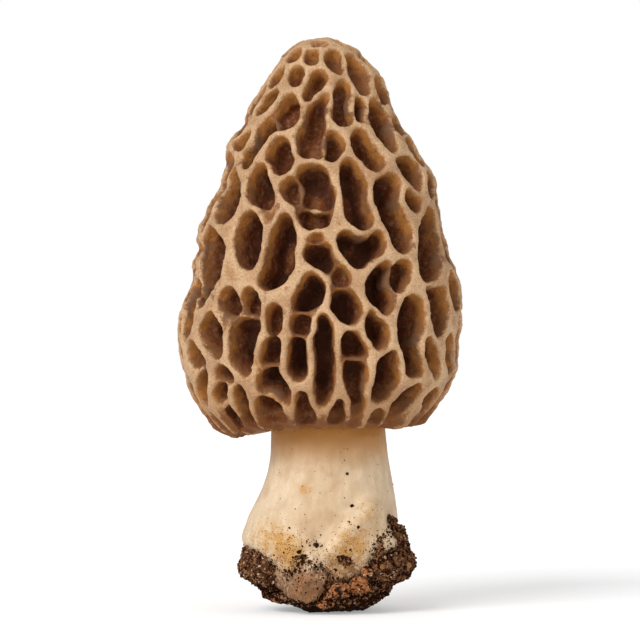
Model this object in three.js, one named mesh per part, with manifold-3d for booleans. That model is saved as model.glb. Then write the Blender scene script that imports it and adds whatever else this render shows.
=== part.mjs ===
// A morel mushroom, picked whole: a honeycombed cap on a pale stem, with garden soil, crumbs and bark chips
// still clinging to its foot. Millimetres, +Z up, the front faces -Y, and it stands on the soil at Z = 0.
import * as THREE from "three";
import { ConvexHull } from "three/addons/math/ConvexHull.js";
import { mergeVertices } from "three/addons/utils/BufferGeometryUtils.js";
import Module from "manifold-3d";

const wasm = await Module();
wasm.setup();

// ---------------------------------------------------------------------------------------------------------
// Driving dimensions
// ---------------------------------------------------------------------------------------------------------
const EYE = 620; // the front is described as seen from this far away, level with the middle
const EYE_HEIGHT = 50.6;
const CAP_TOP = 100; // the tip of the cap
const CAP_RADIUS = 24.8; // where the cap is widest
const NECK_Z = 32.2; // the flat under the cap that the stem carries
const NECK_RADIUS = 9.7;
const NECK_CENTRE = 1.5; // the stem stands a little to the right
const NECK_SIDES = 24;
const HEM_SHARE = 0.066; // where along its profile the skirt hangs lowest
const GAP = 0.3; // between pieces that touch
const STEM_TOP = NECK_Z - GAP;
const FOOT_CENTRE = 1.5; // the middle of the soil that it stands on
const SKIRT_FADE = 46; // below this height the skirt hangs unevenly
const PIT_DEPTH = 6.4; // the deepest pits; narrow ones, and those where the cap is thin, are shallower
const DEPTH_BY_WIDTH = { slope: 1.15, least: 1.2 };
const DEPTH_BY_RADIUS = { slope: 0.26, least: 0.8 };
const PIT_TAPER = 0.5; // how much a pit narrows on each side on its way down
const TAPER_BY_WIDTH = 0.13;
const WEB = 1.5; // thickness of the ridges between the pits
const BACK_PIT = { halfWide: 2.5, halfTall: 4.4, sides: 8, lean: 0.45, closest: 0.9 };
const BACK_FROM = THREE.MathUtils.degToRad(62); // the turn at which the pits of the back begin
const STEM_SIDES = 36;
const SOIL_SIDES = 40;

const COLOURS = {
  cap: 0xa9825a,
  stem: 0xe6d3b1,
  soil: 0x3b2c22,
  bark: 0x8a5a38,
};

// ---------------------------------------------------------------------------------------------------------
// Helpers
// ---------------------------------------------------------------------------------------------------------
// A closed geometry as a solid that can be cut and joined.
function solid(geometry) {
  const bare = geometry.clone();
  bare.deleteAttribute("normal");
  bare.deleteAttribute("uv");
  const merged = mergeVertices(bare, 1e-4);
  return new wasm.Manifold(
    new wasm.Mesh({
      numProp: 3,
      vertProperties: merged.getAttribute("position").array,
      triVerts: new Uint32Array(merged.index.array),
    }),
  );
}

// A geometry from a list of corner points and a list of triangles.
function geometryFrom(points, triangles) {
  const geometry = new THREE.BufferGeometry().setFromPoints(points);
  geometry.setIndex(triangles.flat());
  return geometry;
}

// A named mesh.
function piece(name, geometry, color, roughness) {
  geometry.computeVertexNormals();
  const mesh = new THREE.Mesh(geometry, new THREE.MeshStandardMaterial({ color, roughness, metalness: 0 }));
  mesh.name = name;
  return mesh;
}

// A repeatable stream of numbers from 0 to 1.
function dice(seed) {
  let state = seed;
  return () => {
    state = (state * 1664525 + 1013904223) % 4294967296;
    return state / 4294967296;
  };
}

// The second number of each row, read between the rows at x.
function readTable(rows, x) {
  const next = rows.findIndex(([key]) => key > x);
  if (next < 0) return rows.at(-1)[1];
  if (next === 0) return rows[0][1];
  const [[x0, y0], [x1, y1]] = [rows[next - 1], rows[next]];
  return THREE.MathUtils.lerp(y0, y1, THREE.MathUtils.smoothstep(x, x0, x1));
}

// ---------------------------------------------------------------------------------------------------------
// The cap
// ---------------------------------------------------------------------------------------------------------
// Radius and height of the ridge crests, from the neck out under the skirt and up to the tip.
const capProfile = new THREE.SplineCurve([
  new THREE.Vector2(NECK_RADIUS, NECK_Z),
  new THREE.Vector2(13.2, 31.8),
  new THREE.Vector2(16.4, 31.9),
  new THREE.Vector2(18.9, 33.3),
  new THREE.Vector2(21.1, 36),
  new THREE.Vector2(23.4, 40.2),
  new THREE.Vector2(24.4, 45),
  new THREE.Vector2(CAP_RADIUS, 50),
  new THREE.Vector2(23.4, 57.4),
  new THREE.Vector2(21.4, 65.8),
  new THREE.Vector2(18.8, 74.5),
  new THREE.Vector2(16.3, 81.2),
  new THREE.Vector2(13.4, 85.4),
  new THREE.Vector2(12.2, 88.6),
  new THREE.Vector2(9.3, 94),
  new THREE.Vector2(4.9, 98.6),
  new THREE.Vector2(0, CAP_TOP),
]);
const PROFILE_STEPS = 400;
const profilePoints = capProfile.getSpacedPoints(PROFILE_STEPS);

// How far the middle of the cap stands to the right, by height.
const SIDE_SHIFT = [
  [NECK_Z, NECK_CENTRE], [33.5, -0.3], [39.5, 0.1], [45, -0.2], [52, 0.1], [57.5, 0.9], [66, 0], [70, 0.5],
  [75, 1.4], [80, 0.4], [84, 0.1], [88, 0], [92, 0.8], [96, 0.6], [CAP_TOP, 0],
];

// The skirt hangs lowest on the left and is lifted at the front.
function skirtLift(turn, height) {
  const fade = 1 - THREE.MathUtils.smoothstep(height, NECK_Z, SKIRT_FADE);
  return fade * (0.6 * Math.cos(turn) + 0.85 * Math.sin(turn) - 0.65 * Math.sin(turn) ** 2);
}

// A place on the cap is a turn from the front and a share of the way along the profile.
function capPoint({ turn, share }, sunk = 0) {
  const { x: radius, y: height } = capProfile.getPointAt(share);
  const slope = capProfile.getTangentAt(share);
  const outward = new THREE.Vector3(Math.sin(turn), -Math.cos(turn), 0);
  const normal = outward.clone().multiplyScalar(slope.y).setZ(-slope.x);
  const free = THREE.MathUtils.smoothstep(radius, NECK_RADIUS, 1.5 * NECK_RADIUS);
  const point = outward.multiplyScalar(radius).setZ(height + free * skirtLift(turn, height));
  point.x += share === 0 ? NECK_CENTRE : readTable(SIDE_SHIFT, height);
  point.addScaledVector(normal, -sunk);
  return { point, normal, radius };
}

// The place on the cap nearest to a point.
function placeOf(point) {
  const centred = point.clone();
  centred.x -= readTable(SIDE_SHIFT, point.z);
  const turn = Math.atan2(centred.x, -centred.y);
  const spot = new THREE.Vector2(Math.hypot(centred.x, centred.y), point.z - skirtLift(turn, point.z));
  let nearest = 0;
  profilePoints.forEach((p, i) => {
    if (p.distanceTo(spot) < profilePoints[nearest].distanceTo(spot)) nearest = i;
  });
  return { turn, share: nearest / PROFILE_STEPS };
}

// The place on the front of the cap that the eye sees at a spot across and up.
function placeSeenAt(across, up) {
  let [x, z] = [across, up];
  let place = null;
  for (let i = 0; i < 8; i++) {
    const level = Math.max(profilePoints.findLastIndex((p) => p.y < z), 0) / PROFILE_STEPS;
    const { radius } = capPoint({ turn: 0, share: level });
    const turn = Math.asin(THREE.MathUtils.clamp((x - readTable(SIDE_SHIFT, z)) / radius, -0.98, 0.98));
    place = { turn, share: Math.min(level, 0.995) };
    const { point } = capPoint(place);
    const nearness = EYE / (EYE + point.y);
    x += across - point.x * nearness;
    z += up - (EYE_HEIGHT + (point.z - EYE_HEIGHT) * nearness);
    z = Math.min(z, CAP_TOP - 0.05);
  }
  return place;
}

// Rims of the pits on the front, clockwise, as seen from the eye: across and up. A third number says how
// far that stretch of the ridge is sunk, where two lobes share a low wall.
const FRONT_PITS = [
  // the tip
  [[-1.8, 98.7], [-1.2, 99.2], [0.2, 99.3], [1.3, 99], [1.2, 98.6], [-0.3, 98.5]],
  [[-2.3, 98], [-1, 97.9], [-0.5, 96.7], [-0.9, 95.4], [-1.8, 95.2], [-2.7, 96.2]],
  [[-3.8, 98], [-3.8, 97], [-4.3, 96.1], [-5.3, 95.6], [-5.9, 95.8], [-5.4, 96.8], [-4.6, 97.8]],
  [[-4.4, 95], [-3.7, 94.9], [-3.2, 93.2], [-4, 91.5], [-4.9, 91.6], [-5.6, 93.2], [-5.2, 94.5]],
  [[-0.9, 94.2], [0.2, 94.3], [1, 92.9], [-0.4, 90.9], [-1.9, 88.7], [-2.7, 88.9], [-2.9, 89.9], [-2, 92],
    [-1.6, 93.4]],
  [[1.2, 97.6], [2.2, 97.9], [3.2, 97.6], [4, 96.2], [4.2, 94.2], [3.5, 93.5], [2.3, 94.3], [1, 96.4]],
  [[4.9, 97], [6, 96.9], [8, 95], [8.7, 93], [8.8, 90.8], [8.2, 90], [7.3, 90.1], [6.1, 92.2],
    [5.1, 94.4], [4.7, 96.1]],
  [[10, 93.9], [11, 92.2], [11.9, 90.2], [12, 88.7], [11.3, 88.4], [10.4, 90], [9.9, 92]],
  // the upper third
  [[3.3, 92.2], [4.4, 92.3], [5.1, 90.8], [5.2, 88.4], [5.6, 86], [4.8, 84.9], [3.4, 85], [2.3, 86.2],
    [2.6, 89.4]],
  [[6.5, 89.9], [7.7, 89.1], [7.8, 87.4], [7.7, 85.8], [7.9, 84.9], [7.2, 85], [6.2, 86.3], [6.1, 88.2]],
  [[9.4, 89.2], [10.7, 87.9], [12, 86], [12.7, 83.6], [13.6, 81], [12.9, 80.1], [11.5, 81.3], [9.4, 84.3],
    [8.8, 86], [8.9, 88.2]],
  [[13, 86.7], [13.9, 85.2], [14.9, 83.2], [14.4, 82.5], [13.5, 84]],
  [[-5.7, 90.3], [-4.4, 89.4], [-4.1, 88], [-4.1, 86], [-4.8, 84.9], [-6.4, 84.3], [-7.4, 84.4, 0.8],
    [-8, 85.4, 1.2], [-7.9, 87], [-6.5, 89.2]],
  [[-8.4, 86.9], [-8.4, 85.6, 1], [-7.9, 84.6, 0.6], [-9.2, 83], [-11, 80.4], [-12.2, 78.2], [-13, 77],
    [-13.8, 77.6], [-13.6, 79.4], [-11.9, 82], [-10.8, 84.2]],
  [[-8.4, 90.8], [-7.4, 90.4], [-8.2, 88.8], [-10, 86.8], [-11, 86.4], [-11.1, 87.6], [-9.6, 89.5]],
  [[-7, 94.9], [-6.9, 93.5], [-7.5, 91.9], [-8.8, 90.9], [-9, 91.9], [-7.9, 94]],
  [[-7.5, 82.6], [-6.5, 82.4], [-5.6, 81], [-5, 78.4], [-5.9, 76.8], [-7.4, 76.2], [-8.4, 77.2],
    [-9.5, 78.9], [-9.1, 80.7]],
  [[0.7, 90.6], [1.5, 90], [0.9, 87.8], [0.5, 85.6], [0.5, 84, 0.8], [0.4, 81.4, 1.6], [0.4, 79.3, 0.8],
    [-2, 79.4], [-3.6, 79.4], [-4, 81.8], [-3.7, 83.8], [-2.8, 85.2], [-2.3, 87], [-0.8, 89]],
  [[1.3, 84], [2.6, 83.8], [3.9, 82], [3.8, 80], [2.6, 78.7], [1.2, 78.8], [0.9, 80, 0.8], [0.9, 82, 1.6],
    [0.9, 83.4, 0.8]],
  [[6.4, 84.2], [7.6, 83.5], [9.4, 81.2], [11.1, 78.5], [11, 77.2], [9.9, 76.8], [8.2, 77.6], [6.4, 80.1],
    [5.7, 82.4]],
  [[-12.5, 83.8], [-12.5, 82.4], [-13.9, 80.5], [-14.9, 80.7], [-14.9, 81.9], [-13.6, 83.2]],
  // the middle, left to right
  [[-15.2, 77.4], [-14.7, 75], [-14.3, 72.2], [-15.2, 69.4], [-16.8, 67.8], [-17.9, 67.9], [-18.3, 69.6],
    [-17.4, 72], [-16.1, 74.8]],
  [[-10.6, 77.8], [-9.7, 77.2], [-9.6, 75.4], [-8.7, 73], [-8.8, 71, 0.6], [-9.8, 70.4, 1], [-11.2, 70.6],
    [-12.6, 71.8], [-12.7, 74], [-11.6, 76.8]],
  [[-8.8, 70.4, 0.8], [-8.6, 68.8], [-9, 67.3], [-9.7, 67.7], [-9.9, 69.3], [-9.5, 70, 1]],
  [[-12.8, 69.7], [-11.3, 68.9], [-10.4, 66.8], [-10.9, 63], [-11.7, 60.1], [-12.8, 59.7], [-14.3, 61],
    [-15.1, 64.2], [-14.4, 67.2]],
  [[-6.4, 69.6], [-5.3, 67.8], [-4.6, 65], [-5.1, 62.4], [-5, 59.9], [-6.4, 57.8], [-8.2, 56.6],
    [-10, 56.5], [-10.8, 57.7], [-9.7, 59.8], [-9.3, 63.2], [-7.9, 66.2], [-7, 68.8]],
  [[-19.8, 67.1], [-18.6, 65.8], [-17.4, 64.2], [-17.1, 61.6], [-17.9, 58.6], [-19.6, 55.8], [-21, 53],
    [-21.8, 53.3], [-21, 57], [-20.5, 61], [-20.6, 65]],
  [[-1.8, 77.8], [-0.2, 77.8], [0.9, 76.5], [1.4, 74.8], [2.7, 73], [2.3, 71.4], [1.2, 70.6, 2],
    [-1, 70.7, 3], [-2.6, 71.1, 3], [-3.6, 72.2, 2.6], [-3.9, 74.4, 2], [-4.1, 76.2], [-3.3, 77.4]],
  [[-5.2, 75.6], [-4.4, 75.4, 0.8], [-4.3, 74, 2], [-4.1, 72.2, 2.6], [-4.3, 71.3, 1.2], [-5.5, 71.4],
    [-6.9, 73], [-6.6, 74.7]],
  [[-3.2, 70.7, 3], [-1.6, 70.3, 3], [0.2, 70.1, 3], [1.5, 70.1, 2], [1.6, 68.8], [0.8, 66.9],
    [-1.8, 66.7], [-3.4, 67.7], [-4.1, 69.6, 0.8]],
  [[-1.8, 65.6], [-0.4, 66], [0.4, 65.4], [-0.1, 64.5, 0.8], [-1.4, 64.4, 0.8], [-2, 64.9]],
  [[4.9, 79], [6.2, 78], [7, 76], [8.1, 74.2], [8.3, 71.2], [9.1, 68.6], [8.9, 67.1], [7.8, 66.3],
    [6.4, 67], [4.9, 68.6], [4.5, 71.6], [4, 75], [4, 77.8]],
  [[12, 76.2], [13.3, 75.8], [14.1, 74], [13.5, 71.2], [14.6, 68.8], [15.9, 66.2], [15.9, 63.6],
    [14.8, 62.5], [13.3, 63.6], [12.5, 66], [10.9, 68.8], [9.8, 71.2], [9.8, 73.8], [10.6, 75.7]],
  [[15.6, 73.6], [17.1, 72.3], [17.7, 71.1], [16.9, 69.6], [15.5, 70.6], [15.2, 72.2]],
  [[13.5, 78.5], [15, 79.2], [16.7, 78.6], [17.6, 76.4], [17.8, 73.4], [16.4, 74], [14.8, 76]],
  [[18.7, 76.7], [19.5, 75.8], [20, 73.4], [19.7, 71.9], [18.8, 73.8]],
  [[19.2, 70.4], [20.1, 68.6], [20.8, 64.6], [21.3, 61], [20.8, 58.4], [19.7, 57.3], [18.4, 57.4],
    [17.8, 59.2], [17.7, 63], [17.6, 67]],
  [[4.2, 66.2], [5.6, 65.8], [7.2, 65], [8.6, 65], [10, 66.1], [11, 65.9], [11.2, 63.8], [10.4, 62.1],
    [8.8, 61.2], [7, 59.8], [5.8, 60.4], [4, 62.4], [3.2, 64.8]],
  [[-2.4, 63.7], [-1.2, 63.9, 0.8], [0.2, 64, 0.8], [1.4, 64], [2, 62.6], [2.2, 60.8, 1.6],
    [1.9, 59.5, 1.6], [1, 59.2], [-1.2, 60.6], [-2.8, 62.3]],
  [[2.7, 61, 0.6], [4.4, 59.6], [5.3, 58], [4.9, 57.1, 1], [3.8, 57.1, 2], [2.8, 57.3, 1.2],
    [2.3, 58.3, 0.8], [2.6, 59.6, 1.6]],
  [[11.8, 61], [12.8, 60.5], [12.6, 59, 1.2], [12.3, 57.4, 1.8], [12.6, 55.8, 1.4], [13.1, 54.4],
    [12.4, 52.3], [11.6, 51.3], [10.4, 52.4], [8.5, 55.4], [8.4, 57.2], [10, 59.6]],
  [[14.6, 61], [15.9, 60.4], [15.8, 58.4], [15, 56.4], [14.2, 55.6], [13.3, 56.1], [12.9, 57.4, 1.4],
    [13.1, 59.2, 1.4], [13.6, 60.3]],
  [[23.1, 59.3], [24, 57.4], [24.4, 54.6], [24, 52.5], [23.2, 53.2], [22.6, 55.4], [22.7, 57.8]],
  // the lower middle, left to right
  [[-16.5, 56.4], [-15.3, 55.6], [-14.9, 54.2, 0.8], [-14.9, 53, 1.6], [-16, 52.2, 2], [-17.4, 52.8, 0.8],
    [-17.9, 54.1], [-17.5, 55.4]],
  [[-12.8, 56.3], [-11.6, 55.5], [-10.9, 53.4], [-10.9, 51.7], [-12.2, 51.7, 1.8], [-14, 52.2, 2],
    [-14.4, 53.2, 1.6], [-13.9, 55, 0.6]],
  [[-14.8, 51.3, 1.6], [-13, 51.2, 2], [-11.5, 50.8, 1], [-10.9, 49.6], [-11.8, 47.2], [-12.2, 44.4],
    [-12.6, 41.5], [-13.3, 40.9], [-15, 42.2], [-15.9, 44.4], [-15.7, 47], [-15.8, 49.6]],
  [[-19.4, 52], [-18.4, 50.4], [-17.6, 47.8], [-17.3, 44.9], [-17.9, 44], [-19.2, 44.9], [-20.9, 47.3],
    [-21.1, 49.2], [-20.2, 51.1]],
  [[-8.2, 53.6], [-7.2, 52.8], [-7, 50.8], [-7.4, 48.6], [-8.2, 48.2, 1.2], [-9, 48.6], [-9.4, 50.8],
    [-9, 52.9]],
  [[-8.3, 47.6, 0.8], [-7.5, 47.5], [-7.2, 45], [-7.7, 42.7, 0.6], [-9, 42.5, 1.8], [-10.4, 42.5, 1],
    [-10.7, 44], [-9.7, 46.5]],
  [[-9.8, 41.7, 1.2], [-8.6, 41.9, 1.8], [-7.8, 41.4], [-6.1, 39.1], [-5.3, 36.4], [-5.5, 35.1],
    [-7, 36.1, 1.2], [-9, 37.3, 1.2], [-10.7, 37.9], [-10.9, 39.9]],
  [[-10.7, 36.8], [-9.2, 36.4, 0.7], [-7.6, 35.4, 0.7], [-6.4, 33.6], [-6.9, 32.7], [-8.8, 33],
    [-10.5, 34], [-11.2, 35.4]],
  [[-1.1, 58.9], [0.2, 57.6], [0.8, 55.8], [0.2, 53.8], [-1.2, 53, 0.8], [-2.8, 52.6, 1.8],
    [-4.6, 52.8, 0.8], [-4.3, 55], [-3, 57.4], [-2.3, 58.6]],
  [[-4.6, 52, 0.8], [-2.8, 51.9, 1.8], [-1.6, 51.4, 0.6], [-1.6, 49.6], [-2, 48], [-3.4, 47.8, 1.6],
    [-4.7, 48.3, 0.8], [-5.1, 50.2]],
  [[-4.9, 47.5, 0.6], [-3.6, 47.1, 1.6], [-2.7, 46.6], [-2.4, 44.4], [-2.2, 41.7], [-3, 40.1], [-4.4, 40],
    [-5.7, 41.7], [-5.8, 44.6]],
  [[0.1, 51.8], [1.5, 50.6], [2, 48.4], [2.5, 45], [2.4, 42.2], [2, 38.4], [1.1, 35.5], [0.1, 35],
    [-0.5, 36.2], [-0.8, 41], [-1.1, 45, 0.4], [-1, 48.6, 0.6], [-0.6, 51]],
  [[-3.6, 38], [-2.5, 37.2], [-2, 35.4], [-1, 32.9], [-2, 32.6], [-3.9, 32.7], [-3.8, 35.2], [-4.1, 37.3]],
  [[2.6, 56.3, 1], [3.7, 56.2, 2], [5, 56.1, 1], [6.2, 54.8], [7.2, 52.4], [6.7, 50.6], [5.4, 49.9],
    [3.6, 50.9], [2.1, 52.8], [2.1, 54.9]],
  [[5.2, 48.4], [6.6, 48.1], [8.1, 45.9], [8.5, 44.1, 0.5], [7.2, 43.8, 1.4], [5.4, 44, 1.8],
    [4.2, 44.2, 0.6], [3.9, 45.9], [4.4, 47.9]],
  [[4.5, 43, 0.8], [5.8, 43.2, 1.8], [7.2, 42.9, 1.4], [8.3, 42.2], [8.4, 40.2], [7.6, 37.6], [7.7, 35.6],
    [6.7, 33.8], [5.8, 34.4], [5.6, 37], [4.6, 40]],
  [[9.1, 52.9], [10.4, 51.1], [11.8, 49.5], [12, 47], [10.9, 45.7], [9.8, 45.8], [8.6, 47.6], [8.4, 50.6]],
  [[13.3, 45.3], [14, 43.6], [13.8, 40], [12.4, 37.4], [11, 36.3, 0.5], [9.6, 36], [9.2, 37.4],
    [10, 40.6], [10.7, 43.3], [12.2, 44.8]],
  [[16.3, 55], [17.7, 54.2], [18.3, 51.6], [18.2, 48.6], [17.3, 46], [18, 43], [18.1, 41.1], [16.8, 40.7],
    [15.3, 41.1], [15, 44.4], [14.1, 48.2], [14.2, 51.6], [15.1, 54.1]],
  [[18.5, 56.8], [20.2, 56.4], [22, 56.4], [22.4, 53.4], [22.5, 50.4], [21.6, 48.1], [20.6, 47.9],
    [20, 50.2], [19.5, 53.6]],
  [[19.4, 47.7], [20.2, 46.3], [20.8, 43.2], [21.1, 40.5], [20.3, 40.6], [18.9, 43.8], [18.5, 46]],
  [[23.2, 48.2], [23.7, 45.6], [23.4, 42], [22.7, 41.2], [22.2, 44], [22.3, 46.8]],
  // the skirt, left to right
  [[-22.9, 46.9], [-21.4, 45.2], [-20.2, 43.1], [-20.9, 42.5, 1], [-22.3, 42.3, 0.6], [-23.2, 44.4]],
  [[-21.3, 42.1, 0.8], [-20.1, 41.9], [-20, 38.6], [-20.3, 35.6], [-21, 36.4], [-21.8, 39.4]],
  [[-17.6, 42.6], [-16.3, 41.5], [-15.1, 40.1], [-15.9, 39.5], [-17, 39.7, 1], [-18.3, 39.8, 0.5],
    [-18.3, 41.6]],
  [[-17.2, 39.4, 0.8], [-16.4, 39], [-16.8, 37.4], [-16.5, 36.1], [-17.9, 35.3, 0.5], [-18.8, 37.2],
    [-18.2, 38.9]],
  [[-16.2, 35.8], [-15.3, 34.9], [-14.1, 32.7], [-15, 32.1], [-16.6, 32.3], [-17.6, 34],
    [-17.1, 35.2, 0.8]],
  [[-14.7, 39.5], [-13.6, 38.2], [-13, 35.6], [-11.8, 33], [-12.7, 32.7], [-14.3, 35], [-15, 37.4]],
  [[3.6, 37.4], [4.2, 35.8], [4.3, 33.1], [3, 32.7], [1.3, 32.9], [2.5, 35]],
  [[10.5, 35], [11.5, 34.2], [10.7, 32.8], [8.6, 33], [9.4, 34.2]],
  [[17.3, 39.4], [17.6, 38], [16, 35.8], [13.6, 34], [12.3, 33.9], [12.7, 35.7], [15, 37.5]],
  [[20.4, 38.4], [20.4, 37], [18.9, 35], [18.1, 34.8], [18.5, 36.8]],
];


// The frame of a pit: its middle, the way out of the cap, and its short and long axes along the surface.
function pitFrame(place, lean) {
  const { point, normal, radius } = capPoint(place);
  const around = new THREE.Vector3(Math.cos(place.turn), Math.sin(place.turn), 0);
  const upward = new THREE.Vector3().crossVectors(normal, around);
  const short = around.clone().multiplyScalar(Math.cos(lean)).addScaledVector(upward, -Math.sin(lean));
  const long = upward.multiplyScalar(Math.cos(lean)).addScaledVector(around, Math.sin(lean));
  return { point, normal, radius, short, long };
}

// A front pit from its rim.
function frontPit(row) {
  const rim = row.map(([across, up, sunk = 0]) => ({ place: placeSeenAt(across, up), sunk }));
  const middle = new THREE.Vector3();
  for (const { place } of rim) middle.addScaledVector(capPoint(place).point, 1 / rim.length);
  const frame = pitFrame(placeOf(middle), 0);
  const arms = rim.map(({ place }) => capPoint(place).point.sub(frame.point));
  const halfWide = Math.max(...arms.map((arm) => Math.abs(arm.dot(frame.short))));
  const halfTall = Math.max(...arms.map((arm) => Math.abs(arm.dot(frame.long))));
  return { ...frame, halfWide, halfTall, rim };
}

// How far a point is from a pit's middle, as a share of the pit's own size.
function spread(pit, point) {
  const arm = point.clone().sub(pit.point);
  return Math.hypot(
    arm.dot(pit.short) / pit.halfWide,
    arm.dot(pit.long) / pit.halfTall,
    arm.dot(pit.normal) / pit.halfTall,
  );
}

// Fills the rest of the cap with pits: each new one goes where the gap between the others is widest.
function growBackPits(front) {
  const roll = dice(12);
  const crests = front.flatMap(({ rim }) => rim.map(({ place }) => capPoint(place).point));
  const grown = [];
  for (;;) {
    let best = null;
    for (let tries = 0; tries < 300; tries++) {
      const share = THREE.MathUtils.lerp(0.15, 0.99, roll() ** 0.7);
      const turn = Math.PI + (roll() * 2 - 1) * (Math.PI - BACK_FROM);
      const size = THREE.MathUtils.lerp(1.05, 0.5, share ** 1.6) * THREE.MathUtils.lerp(0.85, 1.15, roll());
      const frame = pitFrame({ turn, share }, (roll() * 2 - 1) * BACK_PIT.lean);
      const pit = { ...frame, halfWide: BACK_PIT.halfWide * size, halfTall: BACK_PIT.halfTall * size };
      if (front.some((other) => spread(other, pit.point) < 1.15)) continue;
      const toCrests = Math.min(...crests.map((crest) => spread(pit, crest))) - 0.3;
      const toOthers = grown.map((other) => {
        const one = spread(pit, other.point);
        const two = spread(other, pit.point);
        return (one * two) / (one + two);
      });
      const room = Math.min(toCrests, ...toOthers);
      if (!best || room > best.room) best = { pit, room };
    }
    if (best.room < BACK_PIT.closest) break;
    grown.push(best.pit);
  }
  for (const pit of grown) pit.rim = backRim(pit, grown, crests);
  return grown;
}

// The rim of a back pit: in each direction out to the ridge it shares with a neighbour.
function backRim(pit, others, crests) {
  const near = others.filter((other) => other !== pit && other.point.distanceTo(pit.point) < 25);
  return Array.from({ length: BACK_PIT.sides }, (_, k) => {
    const angle = ((k + 0.5) / BACK_PIT.sides) * -2 * Math.PI;
    const reach = pit.short.clone().multiplyScalar(pit.halfWide * Math.cos(angle));
    reach.addScaledVector(pit.long, pit.halfTall * Math.sin(angle));
    const web = WEB / 2 / reach.length();
    let out = 0.4;
    for (; out < 1.45; out += 0.02) {
      const point = pit.point.clone().addScaledVector(reach, out);
      const ridge = pit.point.clone().addScaledVector(reach, out + web);
      if (near.some((other) => spread(other, ridge) < out + web)) break;
      if (crests.some((crest) => crest.distanceTo(point) < WEB)) break;
    }
    return { place: placeOf(pit.point.clone().addScaledVector(reach, out)), sunk: 0 };
  });
}

// Triangles that join places on the cap evenly: their shadows on a ball, wrapped in a hull.
function wrap(places) {
  const shadows = places.map(({ turn, share }) =>
    new THREE.Vector3().setFromSphericalCoords(1, THREE.MathUtils.degToRad(145 * (1 - share)), turn),
  );
  const index = new Map(shadows.map((shadow, i) => [shadow, i]));
  return new ConvexHull().setFromPoints(shadows).faces.map(({ edge }) =>
    [edge, edge.next, edge.prev].map((side) => index.get(side.head().point)),
  );
}

// The place half way between two others.
function between(one, two) {
  const gap = THREE.MathUtils.euclideanModulo(two.turn - one.turn + Math.PI, 2 * Math.PI) - Math.PI;
  return { turn: one.turn + gap / 2, share: (one.share + two.share) / 2 };
}

// Joins all the rims into one skin. A rim whose sides the skin does not follow gets another point there.
function skinOver(pits, rings) {
  for (let round = 0; round < 8; round++) {
    const owned = pits.flatMap(({ rim }, pit) => rim.map((corner) => ({ ...corner, pit })));
    const corners = [...rings, ...owned];
    const triangles = wrap(corners.map(({ place }) => place));
    const joined = new Set(triangles.flatMap(([a, b, c]) => [[a, b], [b, c], [c, a]]).map(String));
    let first = rings.length;
    let added = 0;
    for (const pit of pits) {
      const count = pit.rim.length;
      const missing = pit.rim.map((_, i) => !joined.has(String([first + i, first + ((i + 1) % count)])));
      first += count;
      added += missing.filter(Boolean).length;
      pit.rim = pit.rim.flatMap((corner, i) => {
        const next = pit.rim[(i + 1) % count];
        const extra = { place: between(corner.place, next.place), sunk: (corner.sunk + next.sunk) / 2 };
        return missing[i] ? [corner, extra] : [corner];
      });
    }
    if (added === 0) return { corners, triangles };
  }
  throw new Error("two rims cross");
}

// Where a point lies along a pit's short and long axes.
function flatten(pit, point) {
  const arm = point.clone().sub(pit.point);
  return new THREE.Vector2(arm.dot(pit.short), arm.dot(pit.long));
}

// Whether a spot is inside a flat ring: a line from it crosses the ring an odd number of times.
function isInside(spot, ring) {
  const crossings = ring.filter((a, i) => {
    const b = ring[(i + 1) % ring.length];
    const crossing = a.x + ((b.x - a.x) * (spot.y - a.y)) / (b.y - a.y);
    return a.y > spot.y !== b.y > spot.y && spot.x < crossing;
  });
  return crossings.length % 2 === 1;
}

// A ring of corners round the cap that belong to no pit.
function plainRing(share) {
  return Array.from({ length: NECK_SIDES }, (_, i) => {
    const turn = (i / NECK_SIDES) * 2 * Math.PI;
    return { place: { turn, share }, sunk: 0, pit: -1 };
  });
}

// The directed sides of some triangles that no other of them shares, from corner to corner.
function openSides(triangles) {
  const sides = triangles.flatMap(([a, b, c]) => [[a, b], [b, c], [c, a]]);
  return new Map(sides.filter(([from, to]) => !sides.some(([a, b]) => a === to && b === from)));
}

// The mean width of a ring of spots.
function widthOf(ring) {
  const around = ring.reduce((sum, spot, i) => sum + spot.distanceTo(ring[(i + 1) % ring.length]), 0);
  return (4 * Math.abs(THREE.ShapeUtils.area(ring))) / around;
}

// Lets the inside of a pit down whole, with walls that follow it down from the rim.
function sink(pit, inside, corners, points, skin) {
  const next = openSides(inside);
  const previous = new Map([...next].map(([from, to]) => [to, from]));
  const loop = [...next.keys()].slice(0, 1);
  while (next.get(loop.at(-1)) !== loop[0]) loop.push(next.get(loop.at(-1)));
  const width = widthOf(loop.map((corner) => flatten(pit, points[corner])));
  const depth = Math.min(
    PIT_DEPTH,
    DEPTH_BY_WIDTH.slope * width + DEPTH_BY_WIDTH.least,
    DEPTH_BY_RADIUS.slope * pit.radius + DEPTH_BY_RADIUS.least,
  );
  const taper = Math.min(PIT_TAPER, TAPER_BY_WIDTH * width);
  const lowered = new Map();
  for (const corner of loop) {
    const along = points[next.get(corner)].clone().sub(points[previous.get(corner)]);
    const inward = new THREE.Vector3().crossVectors(pit.normal, along).normalize();
    const outward = capPoint(corners[corner].place).normal.multiplyScalar(2).add(pit.normal).normalize();
    const foot = points[corner].clone().addScaledVector(inward, taper);
    foot.addScaledVector(outward, corners[corner].sunk - depth);
    lowered.set(corner, points.push(foot) - 1);
  }
  for (const corner of loop) {
    const [a, b] = [lowered.get(corner), lowered.get(next.get(corner))];
    skin.push([corner, next.get(corner), b], [corner, b, a]);
  }
  for (const triangle of inside) skin.push(triangle.map((corner) => lowered.get(corner)));
}

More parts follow.
